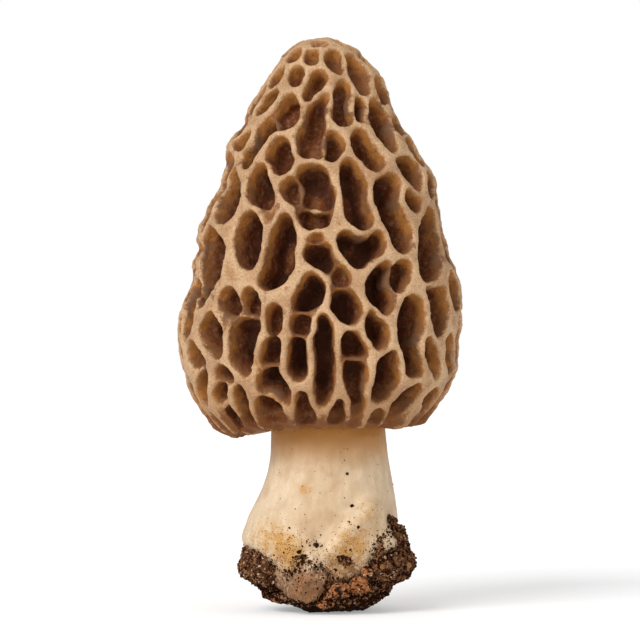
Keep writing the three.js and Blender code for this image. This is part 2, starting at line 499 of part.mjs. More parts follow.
function capGeometry(pits) {
  const { corners, triangles } = skinOver(pits, [...plainRing(0), ...plainRing(HEM_SHARE)]);
  const points = corners.map(({ place, sunk }) => capPoint(place, sunk).point);
  const onCrest = corners.map(({ place }) => capPoint(place).point);
  const rims = pits.map((pit, index) => {
    const ring = onCrest.filter((_, i) => corners[i].pit === index);
    return ring.map((point) => flatten(pit, point));
  });
  const insides = pits.map(() => []);
  const skin = [];
  for (const triangle of triangles) {
    const owners = new Set(triangle.map((corner) => corners[corner].pit));
    const [owner] = owners;
    const centre = new THREE.Vector3();
    for (const corner of triangle) centre.addScaledVector(onCrest[corner], 1 / 3);
    const within = owners.size === 1 && owner >= 0 && isInside(flatten(pits[owner], centre), rims[owner]);
    (within ? insides[owner] : skin).push(triangle);
  }
  insides.forEach((inside, index) => sink(pits[index], inside, corners, points, skin));
  return geometryFrom(points, skin);
}

// ---------------------------------------------------------------------------------------------------------
// The stem
// ---------------------------------------------------------------------------------------------------------
// Height, middle and radius of the stem, from its foot up.
const STEM_ROWS = [
  [2.2, 1.4, 6.2], [3.2, 1.3, 8.6], [4.8, 1.1, 10.6], [7, 0.9, 12.1], [10, 0.6, 12.9], [13, 0.5, 13.1],
  [16.5, 0.8, 12.9], [18.5, 1.1, 12.3], [21, 1.5, 11.5], [24, 1.7, 10.7], [27, 1.7, 10.2],
  [STEM_TOP, NECK_CENTRE, 9.9],
];

// Moves every corner of a geometry.
function reshape(geometry, move) {
  const corners = geometry.getAttribute("position");
  for (let i = 0; i < corners.count; i++) {
    const point = move(new THREE.Vector3().fromBufferAttribute(corners, i));
    corners.setXYZ(i, point.x, point.y, point.z);
  }
  return geometry;
}

// The stem, or the space it needs with a gap around it.
function makeStem(grow = 0) {
  const side = STEM_ROWS.map(([height, , radius]) => new THREE.Vector2(radius + grow, height));
  side[0].y -= grow;
  const last = side.at(-1);
  const outline = [new THREE.Vector2(0, side[0].y), ...side, new THREE.Vector2(0, last.y)];
  const lathe = new THREE.LatheGeometry(outline, STEM_SIDES).rotateX(Math.PI / 2);
  const middles = STEM_ROWS.map(([height, middle]) => [height, middle]);
  return solid(
    reshape(lathe, (point) => {
      const turn = Math.atan2(point.x, -point.y);
      const low = 1 - THREE.MathUtils.smoothstep(point.z, 8, 26);
      const lobes = 0.018 * Math.sin(3 * turn + 0.6) + 0.012 * Math.sin(5 * turn - point.z * 0.12);
      const swell = 1 + lobes * (0.5 + low) - 0.02 * Math.cos(turn) ** 2;
      return point.set(point.x * swell + readTable(middles, point.z), point.y * swell, point.z);
    }),
  );
}

// ---------------------------------------------------------------------------------------------------------
// Soil, crumbs and chips
// ---------------------------------------------------------------------------------------------------------
// Uneven ground: a smooth wave through space, between about -1 and 1.
function wave(point, size, seed) {
  const { x, y, z } = point.clone().divideScalar(size);
  const coarse = Math.sin(x * 1.9 + seed) * Math.cos(y * 2.1 - seed) + Math.sin(z * 2.3 + y + 2 * seed);
  const fine = Math.sin(x * 4.3 - 3 * seed) * Math.sin(y * 3.9 + seed) * Math.cos(z * 4.7 + seed);
  return 0.38 * coarse + 0.3 * fine;
}

// The bowl of soil under the foot. Its underside is flat.
function makeSoilBase(grow = 0) {
  const side = [[6.8, 0], [8.2, 0.7], [10.1, 1.8], [11.3, 2.9], [12.1, 4], [12.6, 5.2], [11.4, 6]];
  const outline = side.map(([radius, height]) => new THREE.Vector2(radius, height));
  outline.unshift(new THREE.Vector2(0, 0));
  outline.push(new THREE.Vector2(0, outline.at(-1).y));
  const lathe = new THREE.LatheGeometry(outline, SOIL_SIDES).rotateX(Math.PI / 2);
  return solid(
    reshape(lathe, (point) => {
      const radius = Math.hypot(point.x, point.y);
      const lump = 1 + 0.06 * wave(point, 4, 1.3) + (radius > 1 ? (1.6 * grow) / radius : 0);
      const outwards = point.z < 0.1 ? -grow : THREE.MathUtils.smoothstep(point.z, 4, 5) * grow;
      const rise = 0.5 * wave(point, 3, 2.7) * Math.min(point.z / 3, 1) + outwards;
      return point.set(point.x * lump + FOOT_CENTRE, point.y * lump, point.z + rise);
    }),
  );
}

// A lump on the foot, by the turn and height of its middle. It is half sunk in what it sits on.
function lump(size, grow = 0) {
  const { turn, height, out, wide, tall, thick, seed, detail = 2, rough = 0.16, lean = 0 } = size;
  const ball = new THREE.IcosahedronGeometry(1, detail);
  const angle = THREE.MathUtils.degToRad(turn);
  const outward = new THREE.Vector3(Math.sin(angle), -Math.cos(angle), 0);
  const around = new THREE.Vector3(Math.cos(angle), Math.sin(angle), 0);
  const frame = new THREE.Matrix4().makeBasis(around, new THREE.Vector3(0, 0, 1), outward);
  const tilt = new THREE.Matrix4().makeRotationZ(THREE.MathUtils.degToRad(lean));
  const middle = outward.clone().multiplyScalar(out).add(new THREE.Vector3(LUMP_CENTRE, 0, height));
  return solid(
    reshape(ball, (point) => {
      point.multiplyScalar(1 + rough * wave(point, 0.55, seed));
      point.multiply(new THREE.Vector3(wide + grow, tall + grow, thick + grow));
      return point.applyMatrix4(tilt).applyMatrix4(frame).add(middle);
    }),
  );
}

const LUMP_CENTRE = 1; // the lumps are placed round the middle of the foot
const CLODS = {
  soil_left: { turn: -74, height: 8, out: 12, wide: 6.4, tall: 4.6, thick: 3.1, detail: 5, seed: 1.1 },
  soil_right: { turn: 66, height: 9.4, out: 12, wide: 6.8, tall: 6.1, thick: 3.6, detail: 5, seed: 2.3 },
  soil_back: { turn: 172, height: 7.6, out: 12.2, wide: 8, tall: 4.6, thick: 2.8, detail: 5, seed: 3.9 },
};
const CRUMBS = {
  crumb_front: { turn: 15, height: 9.6, out: 12.9, wide: 1.5, tall: 0.8, thick: 0.9, seed: 1.7, lean: -24 },
  crumb_left: { turn: -20, height: 10, out: 12.9, wide: 1.3, tall: 0.6, thick: 0.8, seed: 4.2, lean: 6 },
  crumb_high: { turn: -8, height: 12.1, out: 13, wide: 0.6, tall: 0.5, thick: 0.7, seed: 5.5 },
  crumb_right: { turn: 62, height: 15.9, out: 13.3, wide: 1.5, tall: 0.9, thick: 1, seed: 6.1 },
};
const CHIPS = {
  bark_middle: { turn: 10, height: 4.5, out: 12.8, wide: 1.9, tall: 1.3, thick: 1.5, seed: 7.4, lean: 12 },
  bark_right: { turn: 28, height: 5, out: 13, wide: 1.7, tall: 1.5, thick: 1.5, seed: 8.8, lean: -15 },
  bark_low: { turn: -1, height: 2, out: 10.9, wide: 1.4, tall: 1, thick: 1.3, seed: 9.2 },
  stone_chip: { turn: 33, height: 7.4, out: 13.3, wide: 1, tall: 0.8, thick: 1, seed: 3.1 },
};
const CHIP_ROUGHNESS = 0.3; // chips are more angular than crumbs

// The largest body that is left of one solid when others are taken away.
function trimmed(body, others) {
  const left = others.reduce((rest, other) => rest.subtract(other), body);
  return left.decompose().sort((one, two) => two.volume() - one.volume())[0];
}

// A solid back as a geometry.
function geometryOf(body) {
  const { vertProperties, triVerts } = body.getMesh();
  const geometry = new THREE.BufferGeometry();
  geometry.setAttribute("position", new THREE.BufferAttribute(vertProperties, 3));
  geometry.setIndex(new THREE.BufferAttribute(triVerts, 1));
  return geometry;
}

// ---------------------------------------------------------------------------------------------------------
// The morel
// ---------------------------------------------------------------------------------------------------------
const whole = new THREE.Group();
const frontPits = FRONT_PITS.map(frontPit);
whole.add(piece("cap", capGeometry([...frontPits, ...growBackPits(frontPits)]), COLOURS.cap, 0.7));
whole.add(piece("stem", geometryOf(makeStem()), COLOURS.stem, 0.6));

// Whatever is added at the foot gives way to what is already there.
const taken = [makeStem(GAP)];
whole.add(piece("soil_base", geometryOf(trimmed(makeSoilBase(), taken)), COLOURS.soil, 0.95));
taken.push(makeSoilBase(GAP));

function addLumps(sizes, colour, rough) {
  for (const [name, size] of Object.entries(sizes)) {
    const shape = { ...size, rough };
    whole.add(piece(name, geometryOf(trimmed(lump(shape), taken)), colour, 0.95));
    taken.push(lump(shape, GAP));
  }
}

addLumps(CLODS, COLOURS.soil);
addLumps(CRUMBS, COLOURS.soil);
addLumps(CHIPS, COLOURS.bark, CHIP_ROUGHNESS);

// The middle of the bounding box stands over the origin.
const centre = new THREE.Box3().setFromObject(whole).getCenter(new THREE.Vector3());
whole.position.set(-centre.x, -centre.y, 0);
const morel = new THREE.Group();
morel.add(whole);

export default morel;
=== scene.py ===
"""A morel mushroom, picked whole: the fine surface of its cap, stem and clinging soil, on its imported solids.

It is laid out as an add-on and run as a script. The frame is in metres; shapes are worked in millimetres
on the bench and brought back to metres when they are finished.
"""

import math
from collections import namedtuple
from functools import partial

import bpy
import numpy as np
from mathutils import Matrix, Vector, noise
from mathutils.bvhtree import BVHTree


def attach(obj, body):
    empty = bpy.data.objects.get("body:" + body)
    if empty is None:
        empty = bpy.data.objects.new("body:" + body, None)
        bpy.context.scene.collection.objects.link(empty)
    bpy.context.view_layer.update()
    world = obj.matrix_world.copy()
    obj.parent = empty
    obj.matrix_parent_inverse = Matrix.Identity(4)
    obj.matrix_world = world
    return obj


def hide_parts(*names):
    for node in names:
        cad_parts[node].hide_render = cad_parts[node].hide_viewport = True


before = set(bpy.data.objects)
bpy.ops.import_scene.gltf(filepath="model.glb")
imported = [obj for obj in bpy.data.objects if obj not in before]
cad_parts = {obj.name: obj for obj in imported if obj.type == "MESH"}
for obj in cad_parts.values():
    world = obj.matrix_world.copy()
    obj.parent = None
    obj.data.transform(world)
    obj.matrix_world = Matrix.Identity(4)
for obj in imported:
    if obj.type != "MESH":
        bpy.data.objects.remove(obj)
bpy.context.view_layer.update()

bl_info = {
    "name": "Morel mushroom",
    "version": (1, 0, 0),
    "blender": (4, 5, 0),
    "location": "View3D > Sidebar > Morel",
    "description": "Models a morel with a honeycombed cap, a pale stem and soil at its foot",
    "category": "Add Mesh",
}

MM = 0.001
MODEL = "root"  # the one body that every piece rides on


# ---------------------------------- Settings ----------------------------------


def colour_setting(name, what, default):
    return bpy.props.FloatVectorProperty(
        name=name, description=f"Colour of {what}", subtype="COLOR", size=3, min=0, max=1, default=default
    )


def length_setting(name, description, default):
    unit = {"subtype": "DISTANCE", "unit": "LENGTH", "precision": 5}
    return bpy.props.FloatProperty(name=name, description=description, min=0, default=default, **unit)


class MorelCapSettings(bpy.types.PropertyGroup):
    """Sizes and colours of the honeycombed cap"""

    voxel: length_setting("Fineness", "Size of the smallest form on the cap", 0.34 * MM)
    waviness: length_setting("Waviness", "How far the ridges wander from their smooth course", 0.55 * MM)
    lumpiness: length_setting("Lumpiness", "Height of the small lumps on the ridges and walls", 0.2 * MM)
    ridge: colour_setting("Ridge", "the ridges", (0.40, 0.215, 0.09))
    # The pale ridge colour serves both the pale grains and the painted highlight on the crests.
    ridge_pale_and_highlight: colour_setting("Ridge, pale", "the pale grains on the ridges", (0.55, 0.36, 0.205))
    # Sparkle is a painted glint: bright specks laid on the ridges.
    painted_glint: colour_setting("Sparkle", "the fine bright grains", (0.78, 0.58, 0.42))
    hem: colour_setting("Hem", "the skirt's ridges", (0.31, 0.145, 0.05))
    flute: colour_setting("Flute", "Colour between the ridges at the hem", (0.15, 0.052, 0.013))
    # Ochre is a painted glow, laid on the pit walls that face down.
    painted_ochre_glow: colour_setting("Ochre", "the upper walls of the pits", (0.38, 0.15, 0.032))
    wall: colour_setting("Wall", "the lower walls of the pits", (0.225, 0.09, 0.03))
    floor: colour_setting("Floor", "the floors of the pits", (0.14, 0.033, 0.005))
    mould: colour_setting("Mould", "the grey mottling in the pits", (0.22, 0.13, 0.078))
    inner_wall: colour_setting("Inner wall", "the thin walls inside the pits", (0.15, 0.078, 0.042))
    abyss: colour_setting("Abyss", "the deepest pits", (0.045, 0.01, 0.002))


class MorelStemSettings(bpy.types.PropertyGroup):
    """Sizes and colours of the stem"""

    voxel: length_setting("Fineness", "Size of the smallest form on the stem", 0.4 * MM)
    flesh: colour_setting("Flesh", "the clean stem", (0.70, 0.55, 0.375))
    shade: colour_setting("Shade", "the stem in its hollows", (0.46, 0.30, 0.165))
    stain: colour_setting("Stain", "the stains near the foot", (0.50, 0.265, 0.075))
    # The band is painted shade under the cap.
    band: colour_setting("Band", "the band under the cap", (0.42, 0.185, 0.04))
    tan: colour_setting("Tan", "the flesh between the clods", (0.40, 0.20, 0.085))
    bulge: colour_setting("Bulge", "the dirty bulge in the foot", (0.20, 0.068, 0.012))
    speck: colour_setting("Specks", "the fine specks of soil", (0.10, 0.042, 0.016))
    grime: colour_setting("Grime", "the dirt on the lower stem", (0.20, 0.085, 0.032))


class MorelSoilSettings(bpy.types.PropertyGroup):
    """Sizes and colours of the soil, crumbs and chips"""

    voxel: length_setting("Fineness", "Size of the smallest form on a clod", 0.4 * MM)
    grains: bpy.props.IntProperty(name="Grains", description="Number on the clods", min=0, default=13000)
    grain: length_setting("Grain", "Width of a middling grain", 0.36 * MM)
    dark: colour_setting("Dark", "the dark soil", (0.016, 0.005, 0.002))
    light: colour_setting("Light", "the light soil", (0.27, 0.122, 0.054))
    pale: colour_setting("Pale", "the palest grains", (0.60, 0.42, 0.31))
    bark_pale: colour_setting("Bark, pale", "the pale layers of the bark", (0.50, 0.20, 0.08))
    bark: colour_setting("Bark", "the bark chips", (0.16, 0.048, 0.012))


class MorelStageSettings(bpy.types.PropertyGroup):
    """Camera and light"""

    distance: length_setting("Distance", "From the camera to the middle of the morel", 620 * MM)
    height: length_setting("Height", "Height of the camera over the floor", 50.6 * MM)
    lens: bpy.props.FloatProperty(name="Lens", description="Focal length in millimetres", min=1, default=200)
    paper: colour_setting("Paper", "the floor and backdrop", (0.82, 0.82, 0.82))


# ------------------------- Handling objects and meshes -------------------------
FRONT_FADE = (0, 6)  # millimetres in front of the axis over which the front's forms come in
EDGE_FADE = (0.6, 0.95)  # how squarely a surface has to face sideways to belong to the outline
SEED_SHIFT = 7.31  # how far apart in the noise two seeds are


def pick(*objects):
    """Selects these objects alone; the first is the active one."""
    bpy.ops.object.select_all(action="DESELECT")
    for obj in objects:
        obj.select_set(True)
    bpy.context.view_layer.objects.active = objects[0]


def edit(obj):
    """Opens obj in edit mode with all of it selected."""
    pick(obj)
    bpy.ops.object.mode_set(mode="EDIT")
    bpy.ops.mesh.select_all(action="SELECT")


def close_edit():
    bpy.ops.object.mode_set(mode="OBJECT")


def to_bench(obj):
    """Metres to millimetres."""
    obj.data.transform(Matrix.Scale(1 / MM, 4))


def from_bench(obj):
    """Millimetres to metres."""
    obj.data.transform(Matrix.Scale(MM, 4))
    obj.data.update()


def copy_of(node_name, name):
    """A CAD node's mesh on the bench, in one piece, as an object of its own."""
    obj = bpy.data.objects.new(name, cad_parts[node_name].data.copy())
    bpy.context.scene.collection.objects.link(obj)
    obj.data.name = name
    obj.data.materials.clear()
    to_bench(obj)
    edit(obj)
    bpy.ops.mesh.remove_doubles(threshold=0.001)
    close_edit()
    return obj


def modify(obj, kind, **settings):
    """Adds a modifier and applies it."""
    modifier = obj.modifiers.new(kind.title(), kind)
    for name, value in settings.items():
        setattr(modifier, name, value)
    pick(obj)
    bpy.ops.object.modifier_apply(modifier=modifier.name)


def remesh(obj, voxel):
    """Rebuilds the skin from even cells of this size."""
    modify(obj, "REMESH", mode="VOXEL", voxel_size=voxel, adaptivity=0.0)


def displace(obj, label, size, depth, **settings):
    """Moves the surface by a soft three-dimensional noise; size is in the units of the mesh."""
    texture = bpy.data.textures.new(f"{obj.name} {label} {size:g}", "CLOUDS")
    texture.noise_scale = size
    texture.noise_depth = depth
    texture.noise_basis = "ORIGINAL_PERLIN"
    texture.cloud_type = "COLOR" if settings["direction"] == "RGB_TO_XYZ" else "GRAYSCALE"
    modify(obj, "DISPLACE", texture=texture, texture_coords="LOCAL", mid_level=0.5, **settings)


def warp(obj, size, strength):
    """Moves the surface this way and that, by up to half of strength."""
    displace(obj, "warp", size, 1, direction="RGB_TO_XYZ", strength=strength)


def roughen(obj, size, strength, depth=2, group=""):
    """Raises and lowers the surface by up to half of strength."""
    displace(obj, "lumps", size, depth, direction="NORMAL", strength=strength, vertex_group=group)


def skin_tree(obj):
    """The skin of obj, ready to measure from."""
    return BVHTree.FromObject(obj, bpy.context.evaluated_depsgraph_get())


def discard(obj):
    mesh = obj.data
    bpy.data.objects.remove(obj)
    bpy.data.meshes.remove(mesh)


def points_of(obj):
    points = np.empty(len(obj.data.vertices) * 3)
    obj.data.vertices.foreach_get("co", points)
    return points.reshape(-1, 3)


def set_points(obj, points):
    obj.data.vertices.foreach_set("co", points.astype(np.float32).ravel())
    obj.data.update()


def normals_of(obj):
    normals = np.empty(len(obj.data.vertices) * 3, np.float32)
    obj.data.vertex_normals.foreach_get("vector", normals)
    return normals.reshape(-1, 3)


def neighbour_mean(values, ends, counts):
    """The mean of values over the neighbours of each vertex."""
    total = np.empty_like(values)
    for axis in range(values.shape[1]):
        total[:, axis] = np.bincount(ends[:, 0], values[ends[:, 1], axis], len(values))
        total[:, axis] += np.bincount(ends[:, 1], values[ends[:, 0], axis], len(values))
    return total / counts[:, None]


def mesh_ends(obj):
    """The two ends of each edge, and how many neighbours each vertex has."""
    ends = np.empty(len(obj.data.edges) * 2, np.int64)
    obj.data.edges.foreach_get("vertices", ends)
    ends = ends.reshape(-1, 2)
    counts = np.bincount(ends.ravel(), minlength=len(obj.data.vertices)).astype(float)
    return ends, np.maximum(counts, 1)


def relax(obj, rounds, shrink=0.6, swell=0.62):
    """Rounds off facets and creases without thinning the ridges: each round draws in, then out again."""
    ends, counts = mesh_ends(obj)
    points = points_of(obj)
    for step in [shrink, -swell] * rounds:
        points += step * (neighbour_mean(points, ends, counts) - points)
    set_points(obj, points)


def store(obj, name, columns):
    """Keeps up to three numbers for each vertex as a named colour."""
    values = np.ones((len(obj.data.vertices), 4), np.float32)
    for i, column in enumerate(columns):
        values[:, i] = np.clip(column, 0, 1)
    attribute = obj.data.attributes.new(name, "FLOAT_COLOR", "POINT")
    attribute.data.foreach_set("color", values.ravel())


def smooth_step(values, low, high):
    t = np.clip((values - low) / (high - low), 0, 1)
    return t * t * (3 - 2 * t)


def front_share(points):
    """1 on the side that faces the front, 0 behind."""
    return smooth_step(-points[:, 1], *FRONT_FADE)


def bell(distance):
    return np.exp(-np.square(distance))


def spot(points, across, up, wide, tall, lean=0.0):
    """A soft spot on the front: 1 in its middle, 0 well away from it; wide and tall are half its size."""
    rise = points[:, 2] - up
    return front_share(points) * bell(np.hypot((points[:, 0] - across - lean * rise) / wide, rise / tall))


def spots_sum(points, rows, lean=0.0):
    """Soft spots added up; each row is across, up, half width, half height, strength."""
    return sum(strength * spot(points, *place, lean) for *place, strength in rows)


def push_sideways(points, outward, knobs):
    """Swells and dents the outline; each knob is side, up, half height, how far out."""
    for side, up, half, out in knobs:
        share = smooth_step(side * outward[:, 0], *EDGE_FADE)
        points[:, 0] += side * out * share * bell((points[:, 2] - up) / half)


def noise_at(points, size, seed):
    """Smooth noise from about -1 to 1; size may be one number or three."""
    return np.array([noise.noise(Vector(p)) for p in points / size + seed * SEED_SHIFT])


def noise_sum(points, rows):
    """Smooth noises added up; each row is size, height, seed."""
    return sum(height * noise_at(points, size, seed) for size, height, seed in rows)


def keep_above(points, lowest):
    points[:, 2] = np.maximum(points[:, 2], lowest)


def dress(obj, material, slot, *nodes):
    """Gives a finished piece its material and body; it stands for the nodes. The slot is not used."""
    from_bench(obj)
    obj.data.materials.clear()
    obj.data.materials.append(material)
    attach(obj, MODEL)
    if nodes:
        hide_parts(*nodes)
    return obj


# --------------------------- Handling shader nodes ---------------------------
CELL_SHARE = 0.6  # the raised cells of the fine grain, against its grains per millimetre


class Tree:
    """A node tree with short ways to add to it."""

    def __init__(self, tree):
        self.tree = tree

    def add(self, kind, inputs=None, **settings):
        node = self.tree.nodes.new(kind)
        for name, value in settings.items():
            setattr(node, name, value)
        for name, value in (inputs or {}).items():
            self.feed(node.inputs[name], value)
        return node

    def feed(self, socket, value):
        if isinstance(value, bpy.types.NodeSocket):
            self.tree.links.new(value, socket)
        else:
            socket.default_value = value

    def math(self, operation, *values):
        node = self.add("ShaderNodeMath", operation=operation)
        for socket, value in zip(node.inputs, values):
            self.feed(socket, value)
        return node.outputs[0]

    def plus(self, one, other):
        return self.math("ADD", one, other)

    def times(self, one, other):
        return self.math("MULTIPLY", one, other)

    def span(self, value, low, high, to_low=0.0, to_high=1.0):
        """Value carried from one range to another, softly."""
        inputs = {"Value": value, "From Min": low, "From Max": high, "To Min": to_low, "To Max": to_high}
        return self.add("ShaderNodeMapRange", inputs, interpolation_type="SMOOTHSTEP").outputs[0]

    def mix(self, share, one, other):
        """One colour giving way to the other as share goes from 0 to 1."""
        node = self.add("ShaderNodeMix", data_type="RGBA")
        self.feed(node.inputs[0], share)
        self.feed(node.inputs[6], as_colour(one))
        self.feed(node.inputs[7], as_colour(other))
        return node.outputs[2]

    def lay(self, over, under, value, low, high, most=1.0):
        """Lays a colour over another where value goes from low to high."""
        return self.mix(self.span(value, low, high, 0.0, most), under, over)

    def noise(self, vector, scale, detail=2.0, roughness=0.5):
        inputs = {"Vector": vector, "Scale": scale, "Detail": detail, "Roughness": roughness}
        return self.add("ShaderNodeTexNoise", inputs).outputs[0]

    def voronoi(self, vector, scale):
        """The distance to the middle of the nearest cell, and that cell's own colour."""
        return self.add("ShaderNodeTexVoronoi", {"Vector": vector, "Scale": scale}).outputs

    def bump(self, height, strength, distance, normal=None):
        node = self.add("ShaderNodeBump", {"Height": height, "Strength": strength, "Distance": distance})
        if normal is not None:
            self.feed(node.inputs["Normal"], normal)
        return node.outputs[0]

    def millimetres(self, stretch=(1, 1, 1)):
        """The place on the piece in millimetres, stretched for a pattern with a grain."""
        place = self.add("ShaderNodeTexCoord").outputs["Object"]
        scale = tuple(s / MM for s in stretch)
        return self.add("ShaderNodeMapping", {"Vector": place, "Scale": scale}).outputs[0]

    def height(self):
        """Millimetres above the floor."""
        return self.add("ShaderNodeSeparateXYZ", {"Vector": self.millimetres()}).outputs["Z"]

    def stored(self, name):
        """The three numbers stored for each vertex."""
        colour = self.add("ShaderNodeAttribute", attribute_name=name).outputs["Color"]
        return self.add("ShaderNodeSeparateColor", {"Color": colour}).outputs[:3]


def as_colour(value):
    return value if isinstance(value, bpy.types.NodeSocket) else (*value, 1.0)


def new_group(name, numbers, results):
    """A node group that takes a place and these numbers, given with their defaults."""
    group = bpy.data.node_groups.new(name, "ShaderNodeTree")
    group.interface.new_socket("Vector", in_out="INPUT", socket_type="NodeSocketVector")
    for label, default in numbers.items():
        socket = group.interface.new_socket(label, in_out="INPUT", socket_type="NodeSocketFloat")
        socket.default_value = default
    for label in results:
        group.interface.new_socket(label, in_out="OUTPUT", socket_type="NodeSocketFloat")
    tree = Tree(group)
    return group, tree, tree.add("NodeGroupInput").outputs, tree.add("NodeGroupOutput").inputs


def grain_group():
    """Fine mottling: a tint from 0 to 1 and a height."""
    group, tree, given, made = new_group("Fine grain", {"Grains per mm": 3.0}, ["Tint", "Height"])
    small = tree.noise(given["Vector"], given["Grains per mm"], detail=3, roughness=0.65)
    cell = tree.voronoi(given["Vector"], tree.times(given["Grains per mm"], CELL_SHARE))
    raised = tree.math("SUBTRACT", 1.0, cell["Distance"])
    tree.feed(made["Tint"], tree.span(small, 0.36, 0.66))
    tree.feed(made["Height"], tree.plus(tree.times(small, 0.7), tree.times(raised, 0.5)))
    return group


def speck_group():
    """Scattered specks: a mask that is 1 in a speck. Share says how many of the cells have one."""
    numbers = {"Cells per mm": 1.0, "Radius": 0.15, "Share": 0.3}
    group, tree, given, made = new_group("Specks", numbers, ["Mask"])
    cell = tree.voronoi(given["Vector"], given["Cells per mm"])
    inside = tree.math("LESS_THAN", cell["Distance"], given["Radius"])
    dice = tree.add("ShaderNodeSeparateColor", {"Color": cell["Color"]}).outputs[0]
    chosen = tree.math("LESS_THAN", dice, given["Share"])
    tree.feed(made["Mask"], tree.times(inside, chosen))
    return group


GROUPS = {}


def group_node(tree, name, maker, inputs):
    """Adds a shared group, which is made the first time it is asked for."""
    if name not in GROUPS:
        GROUPS[name] = maker()
    return tree.add("ShaderNodeGroup", inputs, node_tree=GROUPS[name]).outputs


def fine_grain(tree, place, grains):
    return group_node(tree, "Fine grain", grain_group, {"Vector": place, "Grains per mm": grains})


def specks(tree, place, cells, radius, share):
    inputs = {"Vector": place, "Cells per mm": cells, "Radius": radius, "Share": share}
    return group_node(tree, "Specks", speck_group, inputs)["Mask"]


def new_material(name, constants):
    """A material whose surface has these constants; returns it, its tree and the surface's sockets."""
    material = bpy.data.materials.new(name)
    material.use_nodes = True
    material.node_tree.nodes.clear()
    tree = Tree(material.node_tree)
    surface = tree.add("ShaderNodeBsdfPrincipled", constants)
    tree.add("ShaderNodeOutputMaterial", {"Surface": surface.outputs[0]})
    return material, tree, surface.inputs


# ----------------------------------- The cap -----------------------------------
HEART = Vector((0, 0, 60))  # the middle of the cap
EGG_MIDDLE = 55  # the smooth egg that the cap is nearest to, in millimetres
EGG_RADII = (24, 24, 45)
FAR = 50.0  # farther below the skin than any pit goes
CREST_WINDOW = 4  # degrees around a spot in which the nearest crest is looked for
SURROUNDINGS = 14  # rounds of averaging that make a vertex's wider surroundings
PIT_DEPTH = 6.0  # millimetres below the crests at which a pit's floor has its full colour

COARSE = 1.35  # how much coarser the first remesh is than the last
WALL_TILT = 0.25  # how far a face has to turn from the way out to be a ridge's wall
RIDGE_REACH = 9.0  # how far through a wall the far side of its ridge is looked for
RIDGE_SKIN = 0.02
RIDGE_KEPT = 1.35  # a ridge thicker than this is drawn in, and a thinner one is filled out
RIDGE_SHARE = 0.5  # of the difference, how much on each side
RIDGE_MOST = 0.6
RIDGE_EVENING = 4  # rounds that even out how far neighbouring walls are drawn in
HEM = (31.5, 35)  # the hem of the skirt keeps its place
ROUNDING = 9  # rounds of smoothing that give the ridges their round backs
SWELL = 0.12  # how far the cap is let out again after that
FLUTE_BAND = (34.5, 37.5)  # heights where a pit counts as running down to the hem
FLUTE_DEPTH = 1.2
FLUTE_FADE = (32.6, 35.8)
FLUTE_RADII = (12, 15)
FLUTE_IN = 1.8
FLUTE_UP = 0.8
FLUTE_SHADE = 2.4  # a flute is as dark as a pit this deep
LIP = {"up": 33.8, "half": 1.6, "drop": 1.15}  # the lowest rims are drawn down, so that the hem is thin
LOBE = {"across": -18.0, "half": 2.8, "fade": (32.5, 37), "drop": 2.1, "in": 2.2}  # the hem's lowest place
KNOBS = [  # small swellings and dips of the outline: side, up, half height, how far out
    (-1, 90.1, 1.1, -0.9), (-1, 87.4, 0.9, 0.35), (-1, 84.6, 1.2, -0.8), (-1, 81.2, 1.2, 0.45),
    (-1, 77.9, 1.0, -0.5), (-1, 73.3, 1.4, -0.5), (-1, 70.2, 1.2, 0.25), (-1, 63.0, 0.9, -0.7),
    (-1, 60.6, 0.9, 0.35), (-1, 56.0, 1.4, -0.45), (-1, 52.0, 1.0, 0.25),
    (1, 90.1, 1.0, 0.6), (1, 84.5, 1.6, -0.35), (1, 75.0, 1.8, 0.3), (1, 61.2, 0.9, -0.45),
    (1, 54.5, 2.5, 0.3), (1, 47.3, 1.2, -0.35),
]
ROUGH_PITS = (0.8, 3)  # depths over which the lumps of the pits come in
WAVES = {"broad": 3.2, "fine": 1.3}  # sizes of the waves and lumps, in millimetres
LUMPS = {"pits": 1.5, "all": 0.7}
WEIGHT_STEPS = 20
MOST_TRIANGLES = 196000

CAP_SURFACE = {
    "Specular IOR Level": 0.25, "Subsurface Weight": 0.12, "Subsurface Radius": (1.0, 0.4, 0.15),
    "Subsurface Scale": 0.8 * MM,
}
CAP_PATTERN = {"grain": 3.2, "broad": 0.22, "patchy": 0.9, "spots": 1.2}  # forms per millimetre
HEM_COLOUR = (43, 31.5)  # heights over which the ridges take on the hem's colour
FLUTE_COLOUR = (37.5, 33.5)
THIN_WALLS = (34, 38)
RIDGE_TO_WALL = (0.035, 0.16)  # depths at which colours change, as shares of PIT_DEPTH
WALL_TO_FLOOR = (0.24, 0.62)
FLOOR_TO_ABYSS = (0.72, 1.0)


def hull_tree(obj):
    """The convex skin round obj, ready to measure from."""
    pick(obj)
    bpy.ops.object.duplicate()
    hull = bpy.context.active_object
    edit(hull)
    bpy.ops.mesh.convex_hull()
    close_edit()
    tree = skin_tree(hull)
    discard(hull)
    return tree


def each_way(grid, blend):
    """Blends each cell of a map of the ball with those beside it, and then with those above and below."""
    grid = blend(np.roll(grid, 1, 1), grid, np.roll(grid, -1, 1))
    return blend(np.vstack([grid[:1], grid[:-1]]), grid, np.vstack([grid[1:], grid[-1:]]))


def least(before, middle, after):
    return np.minimum(np.minimum(middle, before), after)


def softened(before, middle, after):
    return (before + 2 * middle + after) / 4


def depth_below_crests(obj, points):
    """How far each vertex lies below the crests around it, in millimetres."""
    hull = hull_tree(obj)
    below_hull = np.array([hull.find_nearest(p)[3] for p in points])
    arm = points - np.array(HEART)
    turn = np.degrees(np.arctan2(arm[:, 1], arm[:, 0])) % 360
    rise = np.degrees(np.arctan2(arm[:, 2], np.hypot(arm[:, 0], arm[:, 1]))) + 90
    column, row = turn.astype(int) % 360, np.clip(rise.astype(int), 0, 179)
    grid = np.full((180, 360), FAR)
    np.minimum.at(grid, (row, column), below_hull)
    for blend in [least] * CREST_WINDOW + [softened] * CREST_WINDOW:
        grid = each_way(grid, blend)
    return np.maximum(below_hull - grid[row, column], 0)


